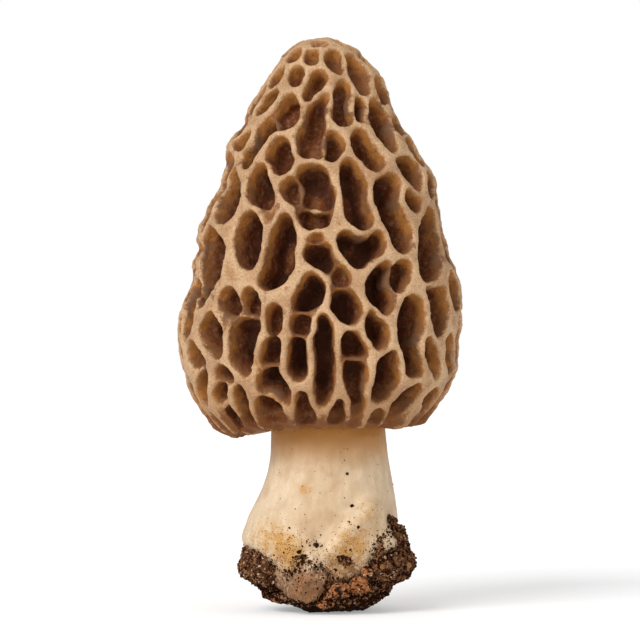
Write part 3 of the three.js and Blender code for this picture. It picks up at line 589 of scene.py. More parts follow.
def sharpness(obj, points, normals):
    """How far each vertex stands out from its wider surroundings: positive on a crest."""
    ends, counts = mesh_ends(obj)
    around = points
    for _ in range(SURROUNDINGS):
        around = neighbour_mean(around, ends, counts)
    return np.einsum("ij,ij->i", points - around, normals)


def ridge_colour(tree, settings, place, grain, crest, height):
    """Tan with pale and dark grains, a painted highlight along the crests and painted shade on their flanks,
    and redder towards the hem.
    """
    broad = tree.noise(place, CAP_PATTERN["broad"], detail=3)
    # Pale on the crests and darker on their flanks: painted highlight and painted shade.
    grain_and_painted_highlight = tree.plus(tree.times(grain["Tint"], 0.75), tree.span(crest, 0.55, 0.85, -0.3, 0.4))
    ridge = tree.lay(settings.ridge_pale_and_highlight, settings.ridge, grain_and_painted_highlight, 0.05, 1.0)
    dull = tree.lay(settings.wall, ridge, broad, 0.35, 0.7, most=0.45)
    return tree.lay(settings.hem, dull, height, *HEM_COLOUR, most=0.78)


def pit_colour(tree, settings, place, uneven, facing_for_painted_glow, height):
    """Painted glow: ochre on the walls that face down under the overhanging ridge, grey-brown on those that
    face up; dark red-brown and mouldy at the bottom.
    """
    # Painted glow: ochre where the wall faces down, grey-brown where it faces up.
    wall = tree.lay(settings.wall, settings.painted_ochre_glow, facing_for_painted_glow, 0.4, 0.66)
    wall = tree.lay(settings.flute, wall, height, *FLUTE_COLOUR, most=0.9)
    spots = tree.noise(place, CAP_PATTERN["spots"], detail=5, roughness=0.65)
    mould = tree.lay(settings.mould, settings.floor, spots, 0.45, 0.75)
    return tree.lay(mould, wall, uneven, *WALL_TO_FLOOR)


def cap_material(settings):
    material, tree, surface = new_material("Cap flesh", CAP_SURFACE)
    place, height = tree.millimetres(), tree.height()
    depth, facing_for_painted_glow, crest = tree.stored("pit")
    grain = fine_grain(tree, place, CAP_PATTERN["grain"])
    patchy = tree.noise(place, CAP_PATTERN["patchy"], detail=4, roughness=0.6)
    uneven = tree.plus(depth, tree.span(patchy, 0.25, 0.75, -0.08, 0.08))

    ridge = ridge_colour(tree, settings, place, grain, crest, height)
    pit = pit_colour(tree, settings, place, uneven, facing_for_painted_glow, height)
    colour = tree.lay(pit, ridge, uneven, *RIDGE_TO_WALL)
    colour = tree.lay(settings.abyss, colour, depth, *FLOOR_TO_ABYSS, most=0.9)

    # Dark specks in the pits, paler thin walls inside them, and painted glints on the ridges: bright specks
    # that stand for sparkle.
    dark = specks(tree, place, cells=1.5, radius=0.2, share=0.3)
    in_pit = tree.span(uneven, 0.05, 0.3, 0.12, 0.8)
    colour = tree.mix(tree.times(dark, in_pit), colour, settings.floor)
    thin_wall = tree.times(tree.span(crest, 0.58, 0.75), tree.span(uneven, 0.08, 0.2, 0.0, 0.75))
    thin_wall = tree.times(thin_wall, tree.span(height, *THIN_WALLS))
    colour = tree.mix(thin_wall, colour, settings.inner_wall)
    bright = specks(tree, place, cells=2.1, radius=0.24, share=0.4)
    on_ridge = tree.span(uneven, 0.05, 0.2, 0.4, 0.02)
    colour = tree.mix(tree.times(bright, on_ridge), colour, settings.painted_glint)
    tree.feed(surface["Base Color"], colour)

    shiny = tree.span(grain["Tint"], 0.0, 1.0, 0.7, 0.45)
    tree.feed(surface["Roughness"], tree.plus(shiny, tree.span(uneven, 0.05, 0.4, 0.0, 0.3)))
    fine = tree.bump(grain["Height"], 0.7, 0.14 * MM)
    tree.feed(surface["Normal"], tree.bump(patchy, 0.5, 0.4 * MM, fine))
    return material


def way_out(points):
    """The way out of the cap at each point, as if it were a smooth egg."""
    way = (points - np.array([0, 0, EGG_MIDDLE])) / np.square(EGG_RADII)
    return way / np.linalg.norm(way, axis=1)[:, None]


def thin_ridges(obj):
    """Draws in the walls of the ridges so that they are slim, and leaves their crests where they are."""
    points, normals = points_of(obj), normals_of(obj)
    outward = way_out(points)
    sideways = normals - np.einsum("ij,ij->i", normals, outward)[:, None] * outward
    tree = skin_tree(obj)
    thickness = np.full(len(points), RIDGE_REACH)
    for i in np.flatnonzero(np.linalg.norm(sideways, axis=1) > WALL_TILT):
        start = Vector(points[i] - RIDGE_SKIN * normals[i])
        reach = tree.ray_cast(start, Vector(-normals[i]), RIDGE_REACH)[3]
        if reach is not None:
            thickness[i] = reach
    draw = np.clip((thickness - RIDGE_KEPT) * RIDGE_SHARE, -RIDGE_MOST, RIDGE_MOST)
    draw = (draw * smooth_step(points[:, 2], *HEM))[:, None]
    ends, counts = mesh_ends(obj)
    for _ in range(RIDGE_EVENING):
        draw = neighbour_mean(draw, ends, counts)
    set_points(obj, points - draw * sideways)


def hem_flutes(points, depth):
    """How much each point belongs to a flute, which carries a low pit on down to the hem."""
    radius = np.hypot(points[:, 0], points[:, 1])
    turn = (np.degrees(np.arctan2(points[:, 1], points[:, 0])) % 360).astype(int) % 360
    band = (points[:, 2] > FLUTE_BAND[0]) & (points[:, 2] < FLUTE_BAND[1]) & (radius > FLUTE_RADII[0])
    deep = depth > FLUTE_DEPTH
    open_share = np.bincount(turn[band], deep[band], 360) / np.bincount(turn[band], minlength=360).clip(1)
    open_share = (np.roll(open_share, 1) + open_share + np.roll(open_share, -1)) / 3
    return open_share[turn] * (1 - smooth_step(points[:, 2], *FLUTE_FADE)) * smooth_step(radius, *FLUTE_RADII)


def shape_hem(obj):
    """Thins the hem to a lip, lets it hang lower on the left and scallops it between the ridges."""
    points = points_of(obj)
    outer = smooth_step(np.hypot(points[:, 0], points[:, 1]), *FLUTE_RADII)
    points[:, 2] -= LIP["drop"] * outer * bell((points[:, 2] - LIP["up"]) / LIP["half"])
    lobe = bell((points[:, 0] - LOBE["across"]) / LOBE["half"])
    lobe *= 1 - smooth_step(points[:, 2], *LOBE["fade"])
    points[:, 2] -= LOBE["drop"] * lobe
    points[:, 0] += LOBE["in"] * lobe
    push = hem_flutes(points, depth_below_crests(obj, points))
    points[:, :2] *= 1 - (FLUTE_IN * push / np.hypot(points[:, 0], points[:, 1]).clip(1))[:, None]
    points[:, 2] += FLUTE_UP * push
    set_points(obj, points)


def weigh(obj, name, weights):
    """Keeps a weight for each vertex, for a modifier to follow."""
    group = obj.vertex_groups.new(name=name)
    steps = np.round(np.clip(weights, 0, 1) * WEIGHT_STEPS).astype(int)
    for step in range(1, WEIGHT_STEPS + 1):
        group.add(np.flatnonzero(steps == step).tolist(), step / WEIGHT_STEPS, "REPLACE")


def shape_cap(cap, voxel):
    """Slims and rounds the ridges, shapes the hem and makes the outline uneven."""
    remesh(cap, COARSE * voxel)
    relax(cap, rounds=4)
    thin_ridges(cap)
    remesh(cap, voxel)
    shape_hem(cap)
    modify(cap, "SMOOTH", factor=0.5, iterations=ROUNDING)
    points = points_of(cap)
    outward = way_out(points)
    points += SWELL * outward
    push_sideways(points, outward, KNOBS)
    set_points(cap, points)


def roughen_cap(cap, waviness, lumpiness):
    """Makes the whole cap wavy and lumpy, and its pits the most."""
    warp(cap, WAVES["broad"], waviness)
    weigh(cap, "deep", smooth_step(depth_below_crests(cap, points_of(cap)), *ROUGH_PITS))
    roughen(cap, LUMPS["pits"], 4 * lumpiness, 1, "deep")
    warp(cap, WAVES["fine"], 0.6 * waviness)
    roughen(cap, LUMPS["all"], lumpiness)


def model_cap(settings):
    cap = copy_of("cap", "cap_flesh")
    shape_cap(cap, settings.voxel / MM)
    roughen_cap(cap, settings.waviness / MM, settings.lumpiness / MM)
    triangles = 2 * len(cap.data.polygons)
    if triangles > MOST_TRIANGLES:
        modify(cap, "DECIMATE", ratio=MOST_TRIANGLES / triangles)
    points, normals = points_of(cap), normals_of(cap)
    depth = depth_below_crests(cap, points)
    depth += FLUTE_SHADE * hem_flutes(points, depth)
    stands_out = sharpness(cap, points, normals)
    # The second number says how far each vertex faces up; the pit walls' painted glow is laid by it.
    store(cap, "pit", [depth / PIT_DEPTH, 0.5 + 0.5 * normals[:, 2], 0.5 + stands_out])
    cap.data.shade_smooth()
    dress(cap, cap_material(settings), "cap_flesh", "cap")


class MORELBUILDER_OT_cap(bpy.types.Operator):
    """Models the cap: remeshes, rounds and roughens its solid, and colours its pits by depth"""

    bl_idname = "morel.cap"
    bl_label = "Honeycombed cap"
    bl_options = {"REGISTER", "UNDO"}

    def execute(self, context):
        model_cap(context.scene.morel_cap)
        return {"FINISHED"}


# ---------------------------------- The stem ----------------------------------
STEM_AXIS = 1.3  # where the stem's middle stands, across
STEM_LOWEST = 1.2
NECK = (30.5, 31.5)  # heights over which the relief dies away under the cap
TUCK = {"fade": (31, 31.9), "up": 0.7}  # the top edge is tucked up into the cap
Spot = namedtuple("Spot", "across up wide tall")  # wide and tall are half its size
BULGE = Spot(-2.1, 5.2, 3.0, 3.0)  # bare flesh that bulges between the clods
BULGE_OUT = 3.3
PATCH = Spot(11.3, 12.2, 1.3, 2.3)  # flesh that shows through the right clod
PATCH_OUT = 2.0
HIP = {"across": (7, 11.5), "up": 12.6, "half": 2.8, "out": 0.8}  # the foot is fuller on the left
FIBRES = [((0.035, 0.035, 6), 0.025, 1), ((0.3, 0.3, 22), 0.2, 2)]  # size, height, seed
FOOT_LUMPS = [(3.4, 0.55, 3), (1.3, 0.35, 4), (0.7, 0.2, 8)]
FOOT_FADE = (7, 15)  # heights over which those lumps die away
KNOTS = [(1.6, 0.4, 9), (0.8, 0.25, 10)]  # the bulge's own
FOLDS = [  # a soft ridge from one place to another: across, up, across, up, half width, height
    (-0.5, 9.2, 8.5, 18.5, 1.7, 1.1), (-2.2, 11.0, 5.5, 19.5, 1.3, -0.45), (-9.5, 8.5, -5.5, 12.5, 2.0, 0.4),
    (-2.5, 13.5, 1.5, 8.5, 1.6, -0.5), (5.5, 22, 7.5, 31, 1.8, 0.25), (-5, 16, -4, 29, 1.8, 0.2),
]

# Marks on the front of the stem: across, up, half width, half height, strength.
STAINS = [
    (-5.4, 11.6, 2.9, 2.9, 0.9), (-5.2, 11.0, 1.2, 1.2, 1.0), (-9.0, 13.5, 2.8, 2.8, 0.6),
    (5.6, 12.6, 3.2, 3.2, 0.9), (3.6, 8.6, 3.0, 3.0, 0.8), (-2.5, 21.5, 1.0, 1.0, 1.1),
    (-7.4, 24.2, 1.0, 1.0, 0.4), (8.5, 17.5, 2.4, 2.4, 0.5), (-4.5, 9.0, 1.6, 1.6, 0.9),
]
PAINTED_SHADES = [  # broad places of painted shade
    (1.6, 22.5, 4.2, 7.5, 0.6), (9.0, 24.0, 3.0, 9.0, 0.1), (-1.2, 15.2, 2.6, 3.0, 0.75),
    (6.8, 11.8, 1.6, 2.6, 0.3), (12.8, 12.0, 2.0, 2.8, 0.7),
]
PAINTED_HIGHLIGHTS = [  # broad places of painted highlight, which lean to the right
    (4.2, 14.6, 1.5, 4.5, 0.7), (-6.5, 21.0, 3.0, 6.0, 0.2), (-3.5, 16.5, 2.5, 3.0, 0.2),
    (9.0, 25.0, 2.4, 6.0, 0.4),
]
SHADE_BASE = 0.3
HIGHLIGHT_LEAN = 0.75
BACK_STAINS = {"size": 5, "seed": 5, "fade": (10, 20), "strength": 0.7}

STEM_SURFACE = {
    "Roughness": 0.55, "Specular IOR Level": 0.3, "Subsurface Weight": 0.15,
    "Subsurface Radius": (1.0, 0.6, 0.35), "Subsurface Scale": 0.6 * MM,
}
FIBRE_GRAIN = (7, 7, 0.5)  # forms per millimetre across, across and up
STREAK_GRAIN = (0.8, 0.8, 0.06)
STEM_PATTERN = {"patchy": 0.8, "blotches": 0.3, "crusty": 1.3}
UNDER_CAP_SHADE_UP = (23.5, 31.3)  # heights over which the painted shade under the cap comes in
TAN_DOWN = (10.5, 5)  # heights over which the dirt comes in, from the top down
RING_DOWN = (10, 7)
GRIME_DOWN = (13, 4)
SPECKS_UP = (5, 17)  # heights over which the specks thin out
STEM_SPECKS = ((3.4, 0.3, 0.6), (1.9, 0.24, 0.45), (0.9, 0.13, 0.15))  # cells per mm, radius, largest share
SPECKS_LEAST = 0.012


def fold_heights(points):
    """The height of the stem's soft ridges and grooves at each point."""
    x, z = points[:, 0], points[:, 2]
    heights = np.zeros(len(points))
    for x0, z0, x1, z1, half, height in FOLDS:
        way = np.array([x1 - x0, z1 - z0])
        along = np.clip(((x - x0) * way[0] + (z - z0) * way[1]) / (way @ way), 0, 1)
        away = np.hypot(x - x0 - along * way[0], z - z0 - along * way[1])
        heights += height * bell(away / half)
    return front_share(points) * heights


def stem_relief(points):
    """How far the stem's fibres, lumps, folds and bulges stand out at each point."""
    x, y, z = points.T
    turn = np.arctan2(x - STEM_AXIS, -y)
    around = np.column_stack([np.cos(turn), np.sin(turn), z])
    out = noise_sum(around, FIBRES)
    out += noise_sum(points, FOOT_LUMPS) * (1 - smooth_step(z, *FOOT_FADE))
    out += fold_heights(points)
    out += HIP["out"] * smooth_step(-x, *HIP["across"]) * bell((z - HIP["up"]) / HIP["half"])
    out += BULGE_OUT * spot(points, *BULGE) * (1 + noise_sum(points, KNOTS))
    out += PATCH_OUT * spot(points, *PATCH)
    return out * (1 - smooth_step(z, *NECK))


def model_stem(settings):
    stem = copy_of("stem", "stem_flesh")
    remesh(stem, settings.voxel / MM)
    relax(stem, rounds=30)
    plain = points_of(stem)
    height = plain[:, 2]
    points = plain + stem_relief(plain)[:, None] * normals_of(stem)
    points[:, 2] += TUCK["up"] * smooth_step(height, *TUCK["fade"])
    keep_above(points, STEM_LOWEST)
    set_points(stem, points)

    back = smooth_step(noise_at(points, BACK_STAINS["size"], BACK_STAINS["seed"]), 0.0, 0.6)
    back *= (1 - front_share(plain)) * (1 - smooth_step(height, *BACK_STAINS["fade"]))
    stain = spots_sum(plain, STAINS) + BACK_STAINS["strength"] * back
    # Painted shade and painted highlight on the front of the stem.
    dull = SHADE_BASE + spots_sum(plain, PAINTED_SHADES) - spots_sum(plain, PAINTED_HIGHLIGHTS, HIGHLIGHT_LEAN)
    store(stem, "marks", [0.5 * stain, dull, spot(plain, *BULGE)])
    stem.data.shade_smooth()
    dress(stem, stem_material(settings), "stem_flesh", "stem")


def clean_flesh(tree, settings, dull, fibres):
    """Cream, with painted shade in its hollows and painted highlight on its folds, and streaked along its
    fibres.
    """
    streaks = tree.noise(tree.millimetres(STREAK_GRAIN), 1.0, detail=2)
    blotches = tree.noise(tree.millimetres(), STEM_PATTERN["blotches"], detail=3)
    streaky = tree.plus(tree.times(dull, 0.75), tree.span(streaks, 0.35, 0.7, 0.0, 0.2))
    streaky = tree.plus(streaky, tree.span(blotches, 0.4, 0.65, -0.1, 0.25))
    colour = tree.mix(streaky, settings.flesh, settings.shade)
    return tree.lay(settings.shade, colour, fibres, 0.4, 0.7, most=0.35)


def dirty_foot(tree, settings, colour, place, patchy, bulge, height):
    """Tan flesh between the clods, with a crust of dirt round the bulge and a thin film over it."""
    on_bulge = tree.span(bulge, 0.1, 0.6, 0.0, 0.95)
    dirty = tree.math("MAXIMUM", on_bulge, tree.span(height, *TAN_DOWN, 0.0, 0.7))
    dirty = tree.times(dirty, tree.span(patchy, 0.35, 0.6, 1.0, 0.75))
    colour = tree.mix(dirty, colour, settings.tan)
    colour = tree.mix(tree.math("POWER", dirty, 3), colour, settings.bulge)
    crusty = tree.noise(place, STEM_PATTERN["crusty"], detail=5, roughness=0.75)
    ring = tree.times(tree.span(bulge, 0.04, 0.15), tree.span(bulge, 0.5, 0.28))
    ring = tree.times(ring, tree.span(height, *RING_DOWN))
    ring = tree.times(ring, tree.span(crusty, 0.46, 0.54, 0.0, 0.9))
    colour = tree.mix(ring, colour, settings.speck)
    low = tree.math("MAXIMUM", tree.span(height, *GRIME_DOWN), tree.times(bulge, 0.8))
    grime = tree.times(low, tree.span(patchy, 0.45, 0.56))
    colour = tree.mix(tree.times(grime, 0.85), colour, settings.grime)
    film = tree.times(low, tree.span(crusty, 0.49, 0.56, 0.0, 0.8))
    film = tree.times(film, tree.span(bulge, 0.2, 0.7, 1.0, 0.35))
    return tree.mix(film, colour, settings.speck)


def stem_material(settings):
    material, tree, surface = new_material("Stem flesh", STEM_SURFACE)
    place, height = tree.millimetres(), tree.height()
    stain, dull, bulge = tree.stored("marks")
    fibres = tree.noise(tree.millimetres(FIBRE_GRAIN), 1.0, detail=3, roughness=0.6)
    patchy = tree.noise(place, STEM_PATTERN["patchy"], detail=4, roughness=0.6)
    mottled = tree.times(stain, tree.span(patchy, 0.3, 0.7, 0.35, 1.2))

    colour = clean_flesh(tree, settings, dull, fibres)
    colour = tree.lay(settings.stain, colour, mottled, 0.02, 0.42)
    colour = dirty_foot(tree, settings, colour, place, patchy, bulge, height)
    # Painted shade in a band under the cap.
    colour = tree.lay(settings.band, colour, height, *UNDER_CAP_SHADE_UP)
    for cells, radius, most in STEM_SPECKS:
        share = tree.plus(tree.span(height, *SPECKS_UP, most, 0.0), tree.times(mottled, 0.6))
        share = tree.plus(share, SPECKS_LEAST)
        colour = tree.mix(specks(tree, place, cells, radius, share), colour, settings.speck)
    tree.feed(surface["Base Color"], colour)
    fine = tree.bump(fibres, 0.35, 0.1 * MM)
    tree.feed(surface["Normal"], tree.bump(patchy, 0.3, 0.25 * MM, fine))
    return material


class MORELBUILDER_OT_stem(bpy.types.Operator):
    """Models the stem: fibres, folds and a lumpy foot, with its stains"""

    bl_idname = "morel.stem"
    bl_label = "Pale stem"
    bl_options = {"REGISTER", "UNDO"}

    def execute(self, context):
        model_stem(context.scene.morel_stem)
        return {"FINISHED"}


# --------------------------- Soil, crumbs and chips ---------------------------
CLODS = ("base", "left", "right", "back")  # clod_base is made from the solid soil_base, and so on
CLOD_IN = 0.3  # how far a clod is drawn in to make room for its grains
FOOT = {"squeeze": 0.09, "fade": (2.5, 6.5)}  # the soil tapers sideways towards the floor
STEPS = [  # the clods' uneven outline: side, up, half height, how far out
    (-1, 11.4, 1.0, 0.5), (-1, 7.7, 1.3, 0.6), (-1, 4.6, 0.9, -0.8), (-1, 2.5, 0.8, 1.9),
    (-1, 0.5, 0.7, -2.8), (1, 15.2, 0.9, 0.5), (1, 11.2, 1.3, -0.6), (1, 4.9, 0.9, -0.9),
]
HOLLOWS = [  # where bare flesh shows through a clod: across, up, half width, half height, how deep
    (BULGE.across, BULGE.up + 0.4, 2.9, 2.9, 3.3), (12.8, 12.2, 1.2, 2.0, 4.5), (-8.1, 5.8, 1.6, 1.6, 7.0),
]
CLOD_LUMPS = [(2.6, 1.1), (0.9, 0.7)]  # size, height
CLOD_TONE = (0.28, 0.3, 1.1, 6)  # middle, spread, size, seed
CLOD_LOWEST = 0.02

CRUMBS = {  # how far a crumb's middle stands out of the flesh, and where it sits: across, up
    "crumb_front": (0.1, 4.0, 9.5), "crumb_left": (-0.25, -3.8, 10.0), "crumb_high": (0.05, -0.7, 12.1),
    "crumb_right": (0.3, 12.9, 15.0),
}
CRUMB_VOXEL = 0.14
CRUMB_WAVES = (1.1, 0.9)  # size, height
CRUMB_LUMPS = (0.5, 0.7)
CRUMB_TONE = (0.2, 0.45, 0.4, 7)
CHIPS = {  # each chip's solid and slot
    "bark_chip_middle": ("bark_middle", "bark"), "bark_chip_right": ("bark_right", "bark"),
    "bark_chip_low": ("bark_low", "bark"), "pale_chip": ("stone_chip", "stone"),
}
CHIP_SCALE = 1.15
CHIP_PROUD = 0.35  # how far the middle of a chip stands out of the soil
CHIP_FACES = 0.14  # the share of its faces that a chip keeps, so that it looks broken
CHIP_EDGE = 0.09  # how far its edges are worn
CHIP_VOXEL = 0.11
CHIP_LUMPS = [(0.9, 0.9), (0.35, 0.3)]
SEAT_REACH = 8.0

DICE_SEED = 7
CLOD_GRAIN = (1.0, 0.32, 0.45)  # width against a middling grain, its spread, how deep it sinks
CLOD_LUMP = (2.1, 0.2, 0.55)
STEM_GRAIN = (0.7, 0.45, 0.5)
STEM_LUMP = (1.3, 0.45, 0.5)
CHIP_GRAIN = (0.8, 0.4, 0.5)
LUMP_TONE = (0.35, 0.2)  # middle, spread
GRAIN_LOWEST = 0.01
TINY = 1e-9
CLEAR_OF_FLOOR = 0.25
CLOD_MIDDLE = 1  # across
CLOD_OUTSIDE = (8, 10)  # distances from that middle over which a clod's outside begins
DARKER = {"clod_right": 0.2, "clod_base": 0.06}  # how much duller the grains of a clod are
GRAINS_PER_LUMP = 16
CHIP_GRAINS = 130
SOIL_TONES = [(0.0, 0.0, 0.3), (0.55, 0.3, 0.7), (0.87, 0.75, 1.1)]  # from which share on, darkest, palest
BURIED = -1.0  # stands for a place that is covered by soil
UNKNOWN = 99.0
NEAR_SOIL = [(1.0, 0.6), (0.06, 2.5)]  # how thickly grains lie beside the soil, and how far that reaches
STEM_DUST = {"share": 0.001, "below": 26}  # the same for the stem below a height, crumbs, bulge and stains
CRUMB_DUST = {"share": 0.25, "half": (1.3, 0.8125)}
BULGE_DUST = {"share": 0.12, "ring share": 0.9, "ring": 3.9, "half": 0.8}  # and a ring this far out
STAIN_DUST = 0.02

SOIL_SURFACE = {"Specular IOR Level": 0.03}
CHIP_SURFACE = {"Roughness": 0.75, "Specular IOR Level": 0.12}
FLOOR_SHADE_DOWN = (7, 1.5)  # heights over which painted shade darkens the soil towards the floor, from the top down
BARK_GRAIN = (1.2, 2.0, 3.5)  # forms per millimetre each way


def soil_material(settings):
    material, tree, surface = new_material("Soil", SOIL_SURFACE)
    grain = fine_grain(tree, tree.millimetres(), 4.0)
    tone = tree.plus(tree.stored("tone")[0], tree.span(grain["Tint"], 0.0, 1.0, -0.12, 0.12))
    # Painted shade: the soil darkens towards the floor.
    tone = tree.math("SUBTRACT", tone, tree.span(tree.height(), *FLOOR_SHADE_DOWN, 0.0, 0.28))
    colour = tree.lay(settings.light, settings.dark, tone, 0.1, 0.6)
    colour = tree.lay(settings.pale, colour, tone, 0.72, 1.0)
    tree.feed(surface["Base Color"], colour)
    tree.feed(surface["Roughness"], tree.span(grain["Tint"], 0.0, 1.0, 0.95, 0.6))
    tree.feed(surface["Normal"], tree.bump(grain["Height"], 0.7, 0.15 * MM))
    return material


def chip_material(settings):
    material, tree, surface = new_material("Bark", CHIP_SURFACE)
    layers = tree.noise(tree.millimetres(BARK_GRAIN), 1.0, detail=4, roughness=0.65)
    patchy = tree.noise(tree.millimetres(), 0.7, detail=3)
    colour = tree.lay(settings.bark_pale, settings.bark, layers, 0.35, 0.7)
    colour = tree.lay(settings.dark, colour, layers, 0.44, 0.34)
    colour = tree.lay(settings.dark, colour, patchy, 0.54, 0.62)
    tree.feed(surface["Base Color"], colour)
    tree.feed(surface["Normal"], tree.bump(layers, 0.6, 0.2 * MM))
    return material


def way_from_axis(points):
    """The level way out from the stem's middle at each point."""
    arm = points[:, :2] - [STEM_AXIS, 0]
    return arm / np.linalg.norm(arm, axis=1)[:, None].clip(1)


def model_clod(side, settings, material):
    node = f"soil_{side}"
    clod = copy_of(node, f"clod_{side}")
    remesh(clod, settings.voxel / MM)
    relax(clod, rounds=5)
    points = points_of(clod) - CLOD_IN * normals_of(clod)
    narrow = 1 - FOOT["squeeze"] * (1 - smooth_step(points[:, 2], *FOOT["fade"]))
    points[:, 0] = STEM_AXIS + (points[:, 0] - STEM_AXIS) * narrow
    push_sideways(points, way_from_axis(points), STEPS)
    points[:, :2] -= spots_sum(points, HOLLOWS)[:, None] * way_from_axis(points)
    set_points(clod, points)
    for size, height in CLOD_LUMPS:
        roughen(clod, size, height)
    points = points_of(clod)
    keep_above(points, CLOD_LOWEST)
    set_points(clod, points)
    return finish_soil(clod, CLOD_TONE, material, node)


def finish_soil(obj, tone, material, node):
    """Mottles a clod or crumb and dresses it; tone is a middle, a spread, a size and a seed."""
    middle, spread, size, seed = tone
    store(obj, "tone", [middle + spread * noise_at(points_of(obj), size, seed)])
    obj.data.shade_smooth()
    return dress(obj, material, "soil", node)


def seat(obj, trees, proud, scale=1.0):
    """Moves a small piece in or out until its middle stands so far proud of what it sits on."""
    points = points_of(obj)
    middle = points.mean(axis=0)
    outward = (middle - [STEM_AXIS, 0, middle[2]]) / np.hypot(middle[0] - STEM_AXIS, middle[1])
    start = middle + SEAT_REACH * outward
    hits = [tree.ray_cast(Vector(start * MM), Vector(-outward), 2 * SEAT_REACH * MM)[3] for tree in trees]
    reach = min(hit for hit in hits if hit is not None) / MM
    set_points(obj, start + (proud - reach) * outward + scale * (points - middle))


def model_crumb(node, proud, material, trees):
    crumb = copy_of(node, f"{node}_lump")
    seat(crumb, trees, proud)
    remesh(crumb, CRUMB_VOXEL)
    warp(crumb, *CRUMB_WAVES)
    roughen(crumb, *CRUMB_LUMPS)
    finish_soil(crumb, CRUMB_TONE, material, node)


def model_chip(name, node, slot, material, trees):
    """A broken chip: a few large faces with worn edges."""
    chip = copy_of(node, name)
    seat(chip, trees, CHIP_PROUD, CHIP_SCALE)
    modify(chip, "DECIMATE", ratio=CHIP_FACES)
    modify(chip, "BEVEL", width=CHIP_EDGE, segments=2, limit_method="ANGLE")
    remesh(chip, CHIP_VOXEL)
    relax(chip, rounds=2)
    for size, height in CHIP_LUMPS:
        roughen(chip, size, height)
    chip.data.shade_smooth()
    return dress(chip, material, slot, node)


def grain_shapes(count, subdivisions):
    """Small broken shapes about one across: their corners and triangles."""
    shapes = []
    for seed in range(count):
        bpy.ops.mesh.primitive_ico_sphere_add(subdivisions=subdivisions, radius=0.5)
        grain = bpy.context.active_object
        edit(grain)
        bpy.ops.transform.vertex_random(offset=0.13, uniform=0.6, normal=0.3, seed=seed + 3)
        close_edit()
        faces = np.array([p.vertices[:] for p in grain.data.polygons])
        shapes.append((points_of(grain), faces))
        discard(grain)
    return shapes


def spots_on(obj, count, dice, wanted):
    """Places on a finished piece, as thick as wanted says, with the way out at each, in millimetres."""
    mesh = obj.data
    mesh.calc_loop_triangles()
    corners = np.empty(len(mesh.loop_triangles) * 3, np.int64)
    mesh.loop_triangles.foreach_get("vertices", corners)
    points = points_of(obj) / MM
    one, two, three = (points[corners.reshape(-1, 3)[:, i]] for i in range(3))
    cross = np.cross(two - one, three - one)
    area = np.linalg.norm(cross, axis=1)
    middle = (one + two + three) / 3
    weight = area * wanted(middle, cross / area[:, None].clip(TINY))
    chosen = dice.choice(len(area), count, p=weight / weight.sum())
    u, v = dice.random((2, count))
    folded = u + v > 1
    u, v = np.where(folded, 1 - u, u), np.where(folded, 1 - v, v)
    spots = one[chosen] + u[:, None] * (two - one)[chosen] + v[:, None] * (three - one)[chosen]
    return spots, cross[chosen] / area[chosen, None].clip(TINY)


def turns(count, dice):
    """Random rotations."""
    q = dice.normal(size=(count, 4))
    w, x, y, z = (q / np.linalg.norm(q, axis=1)[:, None]).T
    rows = [
        [1 - 2 * (y * y + z * z), 2 * (x * y - z * w), 2 * (x * z + y * w)],
        [2 * (x * y + z * w), 1 - 2 * (x * x + z * z), 2 * (y * z - x * w)],
        [2 * (x * z - y * w), 2 * (y * z + x * w), 1 - 2 * (x * x + y * y)],
    ]
    return np.moveaxis(np.array(rows), 2, 0)


def scatter(name, places, outward, widths, shapes, sunk, tones, dice):
    """Many small grains as one mesh, each partly sunk in what it sits on."""
    kinds = dice.integers(len(shapes), size=len(places))
    rotation = turns(len(places), dice)
    squash = dice.uniform(0.65, 1.15, (len(places), 3))
    all_points, all_faces, all_tones, so_far = [], [], [], 0
    for kind, (corners, faces) in enumerate(shapes):
        mine = np.flatnonzero(kinds == kind)
        shaped = corners[None] * squash[mine, None] * widths[mine, None, None]
        turned = np.einsum("nij,nkj->nki", rotation[mine], shaped)
        middle = places[mine] + outward[mine] * (0.5 - sunk) * widths[mine, None]
        points = (turned + middle[:, None]).reshape(-1, 3)
        offsets = so_far + np.arange(len(mine)) * len(corners)
        all_points.append(points)
        all_faces.append((faces[None] + offsets[:, None, None]).reshape(-1, 3))
        all_tones.append(np.repeat(tones[mine], len(corners)))
        so_far += len(points)
    points = np.vstack(all_points)
    keep_above(points, GRAIN_LOWEST)
    mesh = bpy.data.meshes.new(name)
    mesh.from_pydata(points.tolist(), [], np.vstack(all_faces).tolist())
    obj = bpy.data.objects.new(name, mesh)
    bpy.context.scene.collection.objects.link(obj)
    store(obj, "tone", [np.concatenate(all_tones)])
    return obj


def soil_tones(count, dice):
    """Mostly dark grains, some brown, a few pale."""
    kind = dice.random(count)
    tones = np.zeros(count)
    for start, darkest, palest in SOIL_TONES:
        tones = np.where(kind > start, dice.uniform(darkest, palest, count), tones)
    return tones


def duller_tones(by, count, dice):
    return soil_tones(count, dice) - by


def tones_near(tone, spread, count, dice):
    return np.clip(tone + spread * dice.normal(size=count), 0, 1)


def outside_of_clod(middle, way):
    """A clod's outside, clear of the floor and of the side that lies against the stem."""
    away = np.hypot(middle[:, 0] - CLOD_MIDDLE, middle[:, 1])
    return (middle[:, 2] > CLEAR_OF_FLOOR) * smooth_step(away, *CLOD_OUTSIDE)


def underside_of_chip(middle, way):
    """Thickest underneath, on the side that shows."""
    return np.exp(-2.5 * way[:, 2]) * (way[:, 1] < 0.3)


def gap_to_soil(soil, places):
    """How far each place is from the nearest soil, or BURIED."""
    gap = np.full(len(places), UNKNOWN)
    for tree in soil:
        for i, place in enumerate(places):
            point = Vector(place) * MM
            nearest, outward, _, distance = tree.find_nearest(point)
            buried = (point - nearest).dot(outward) < 0
            gap[i] = BURIED if buried else min(gap[i], distance / MM)
    return gap


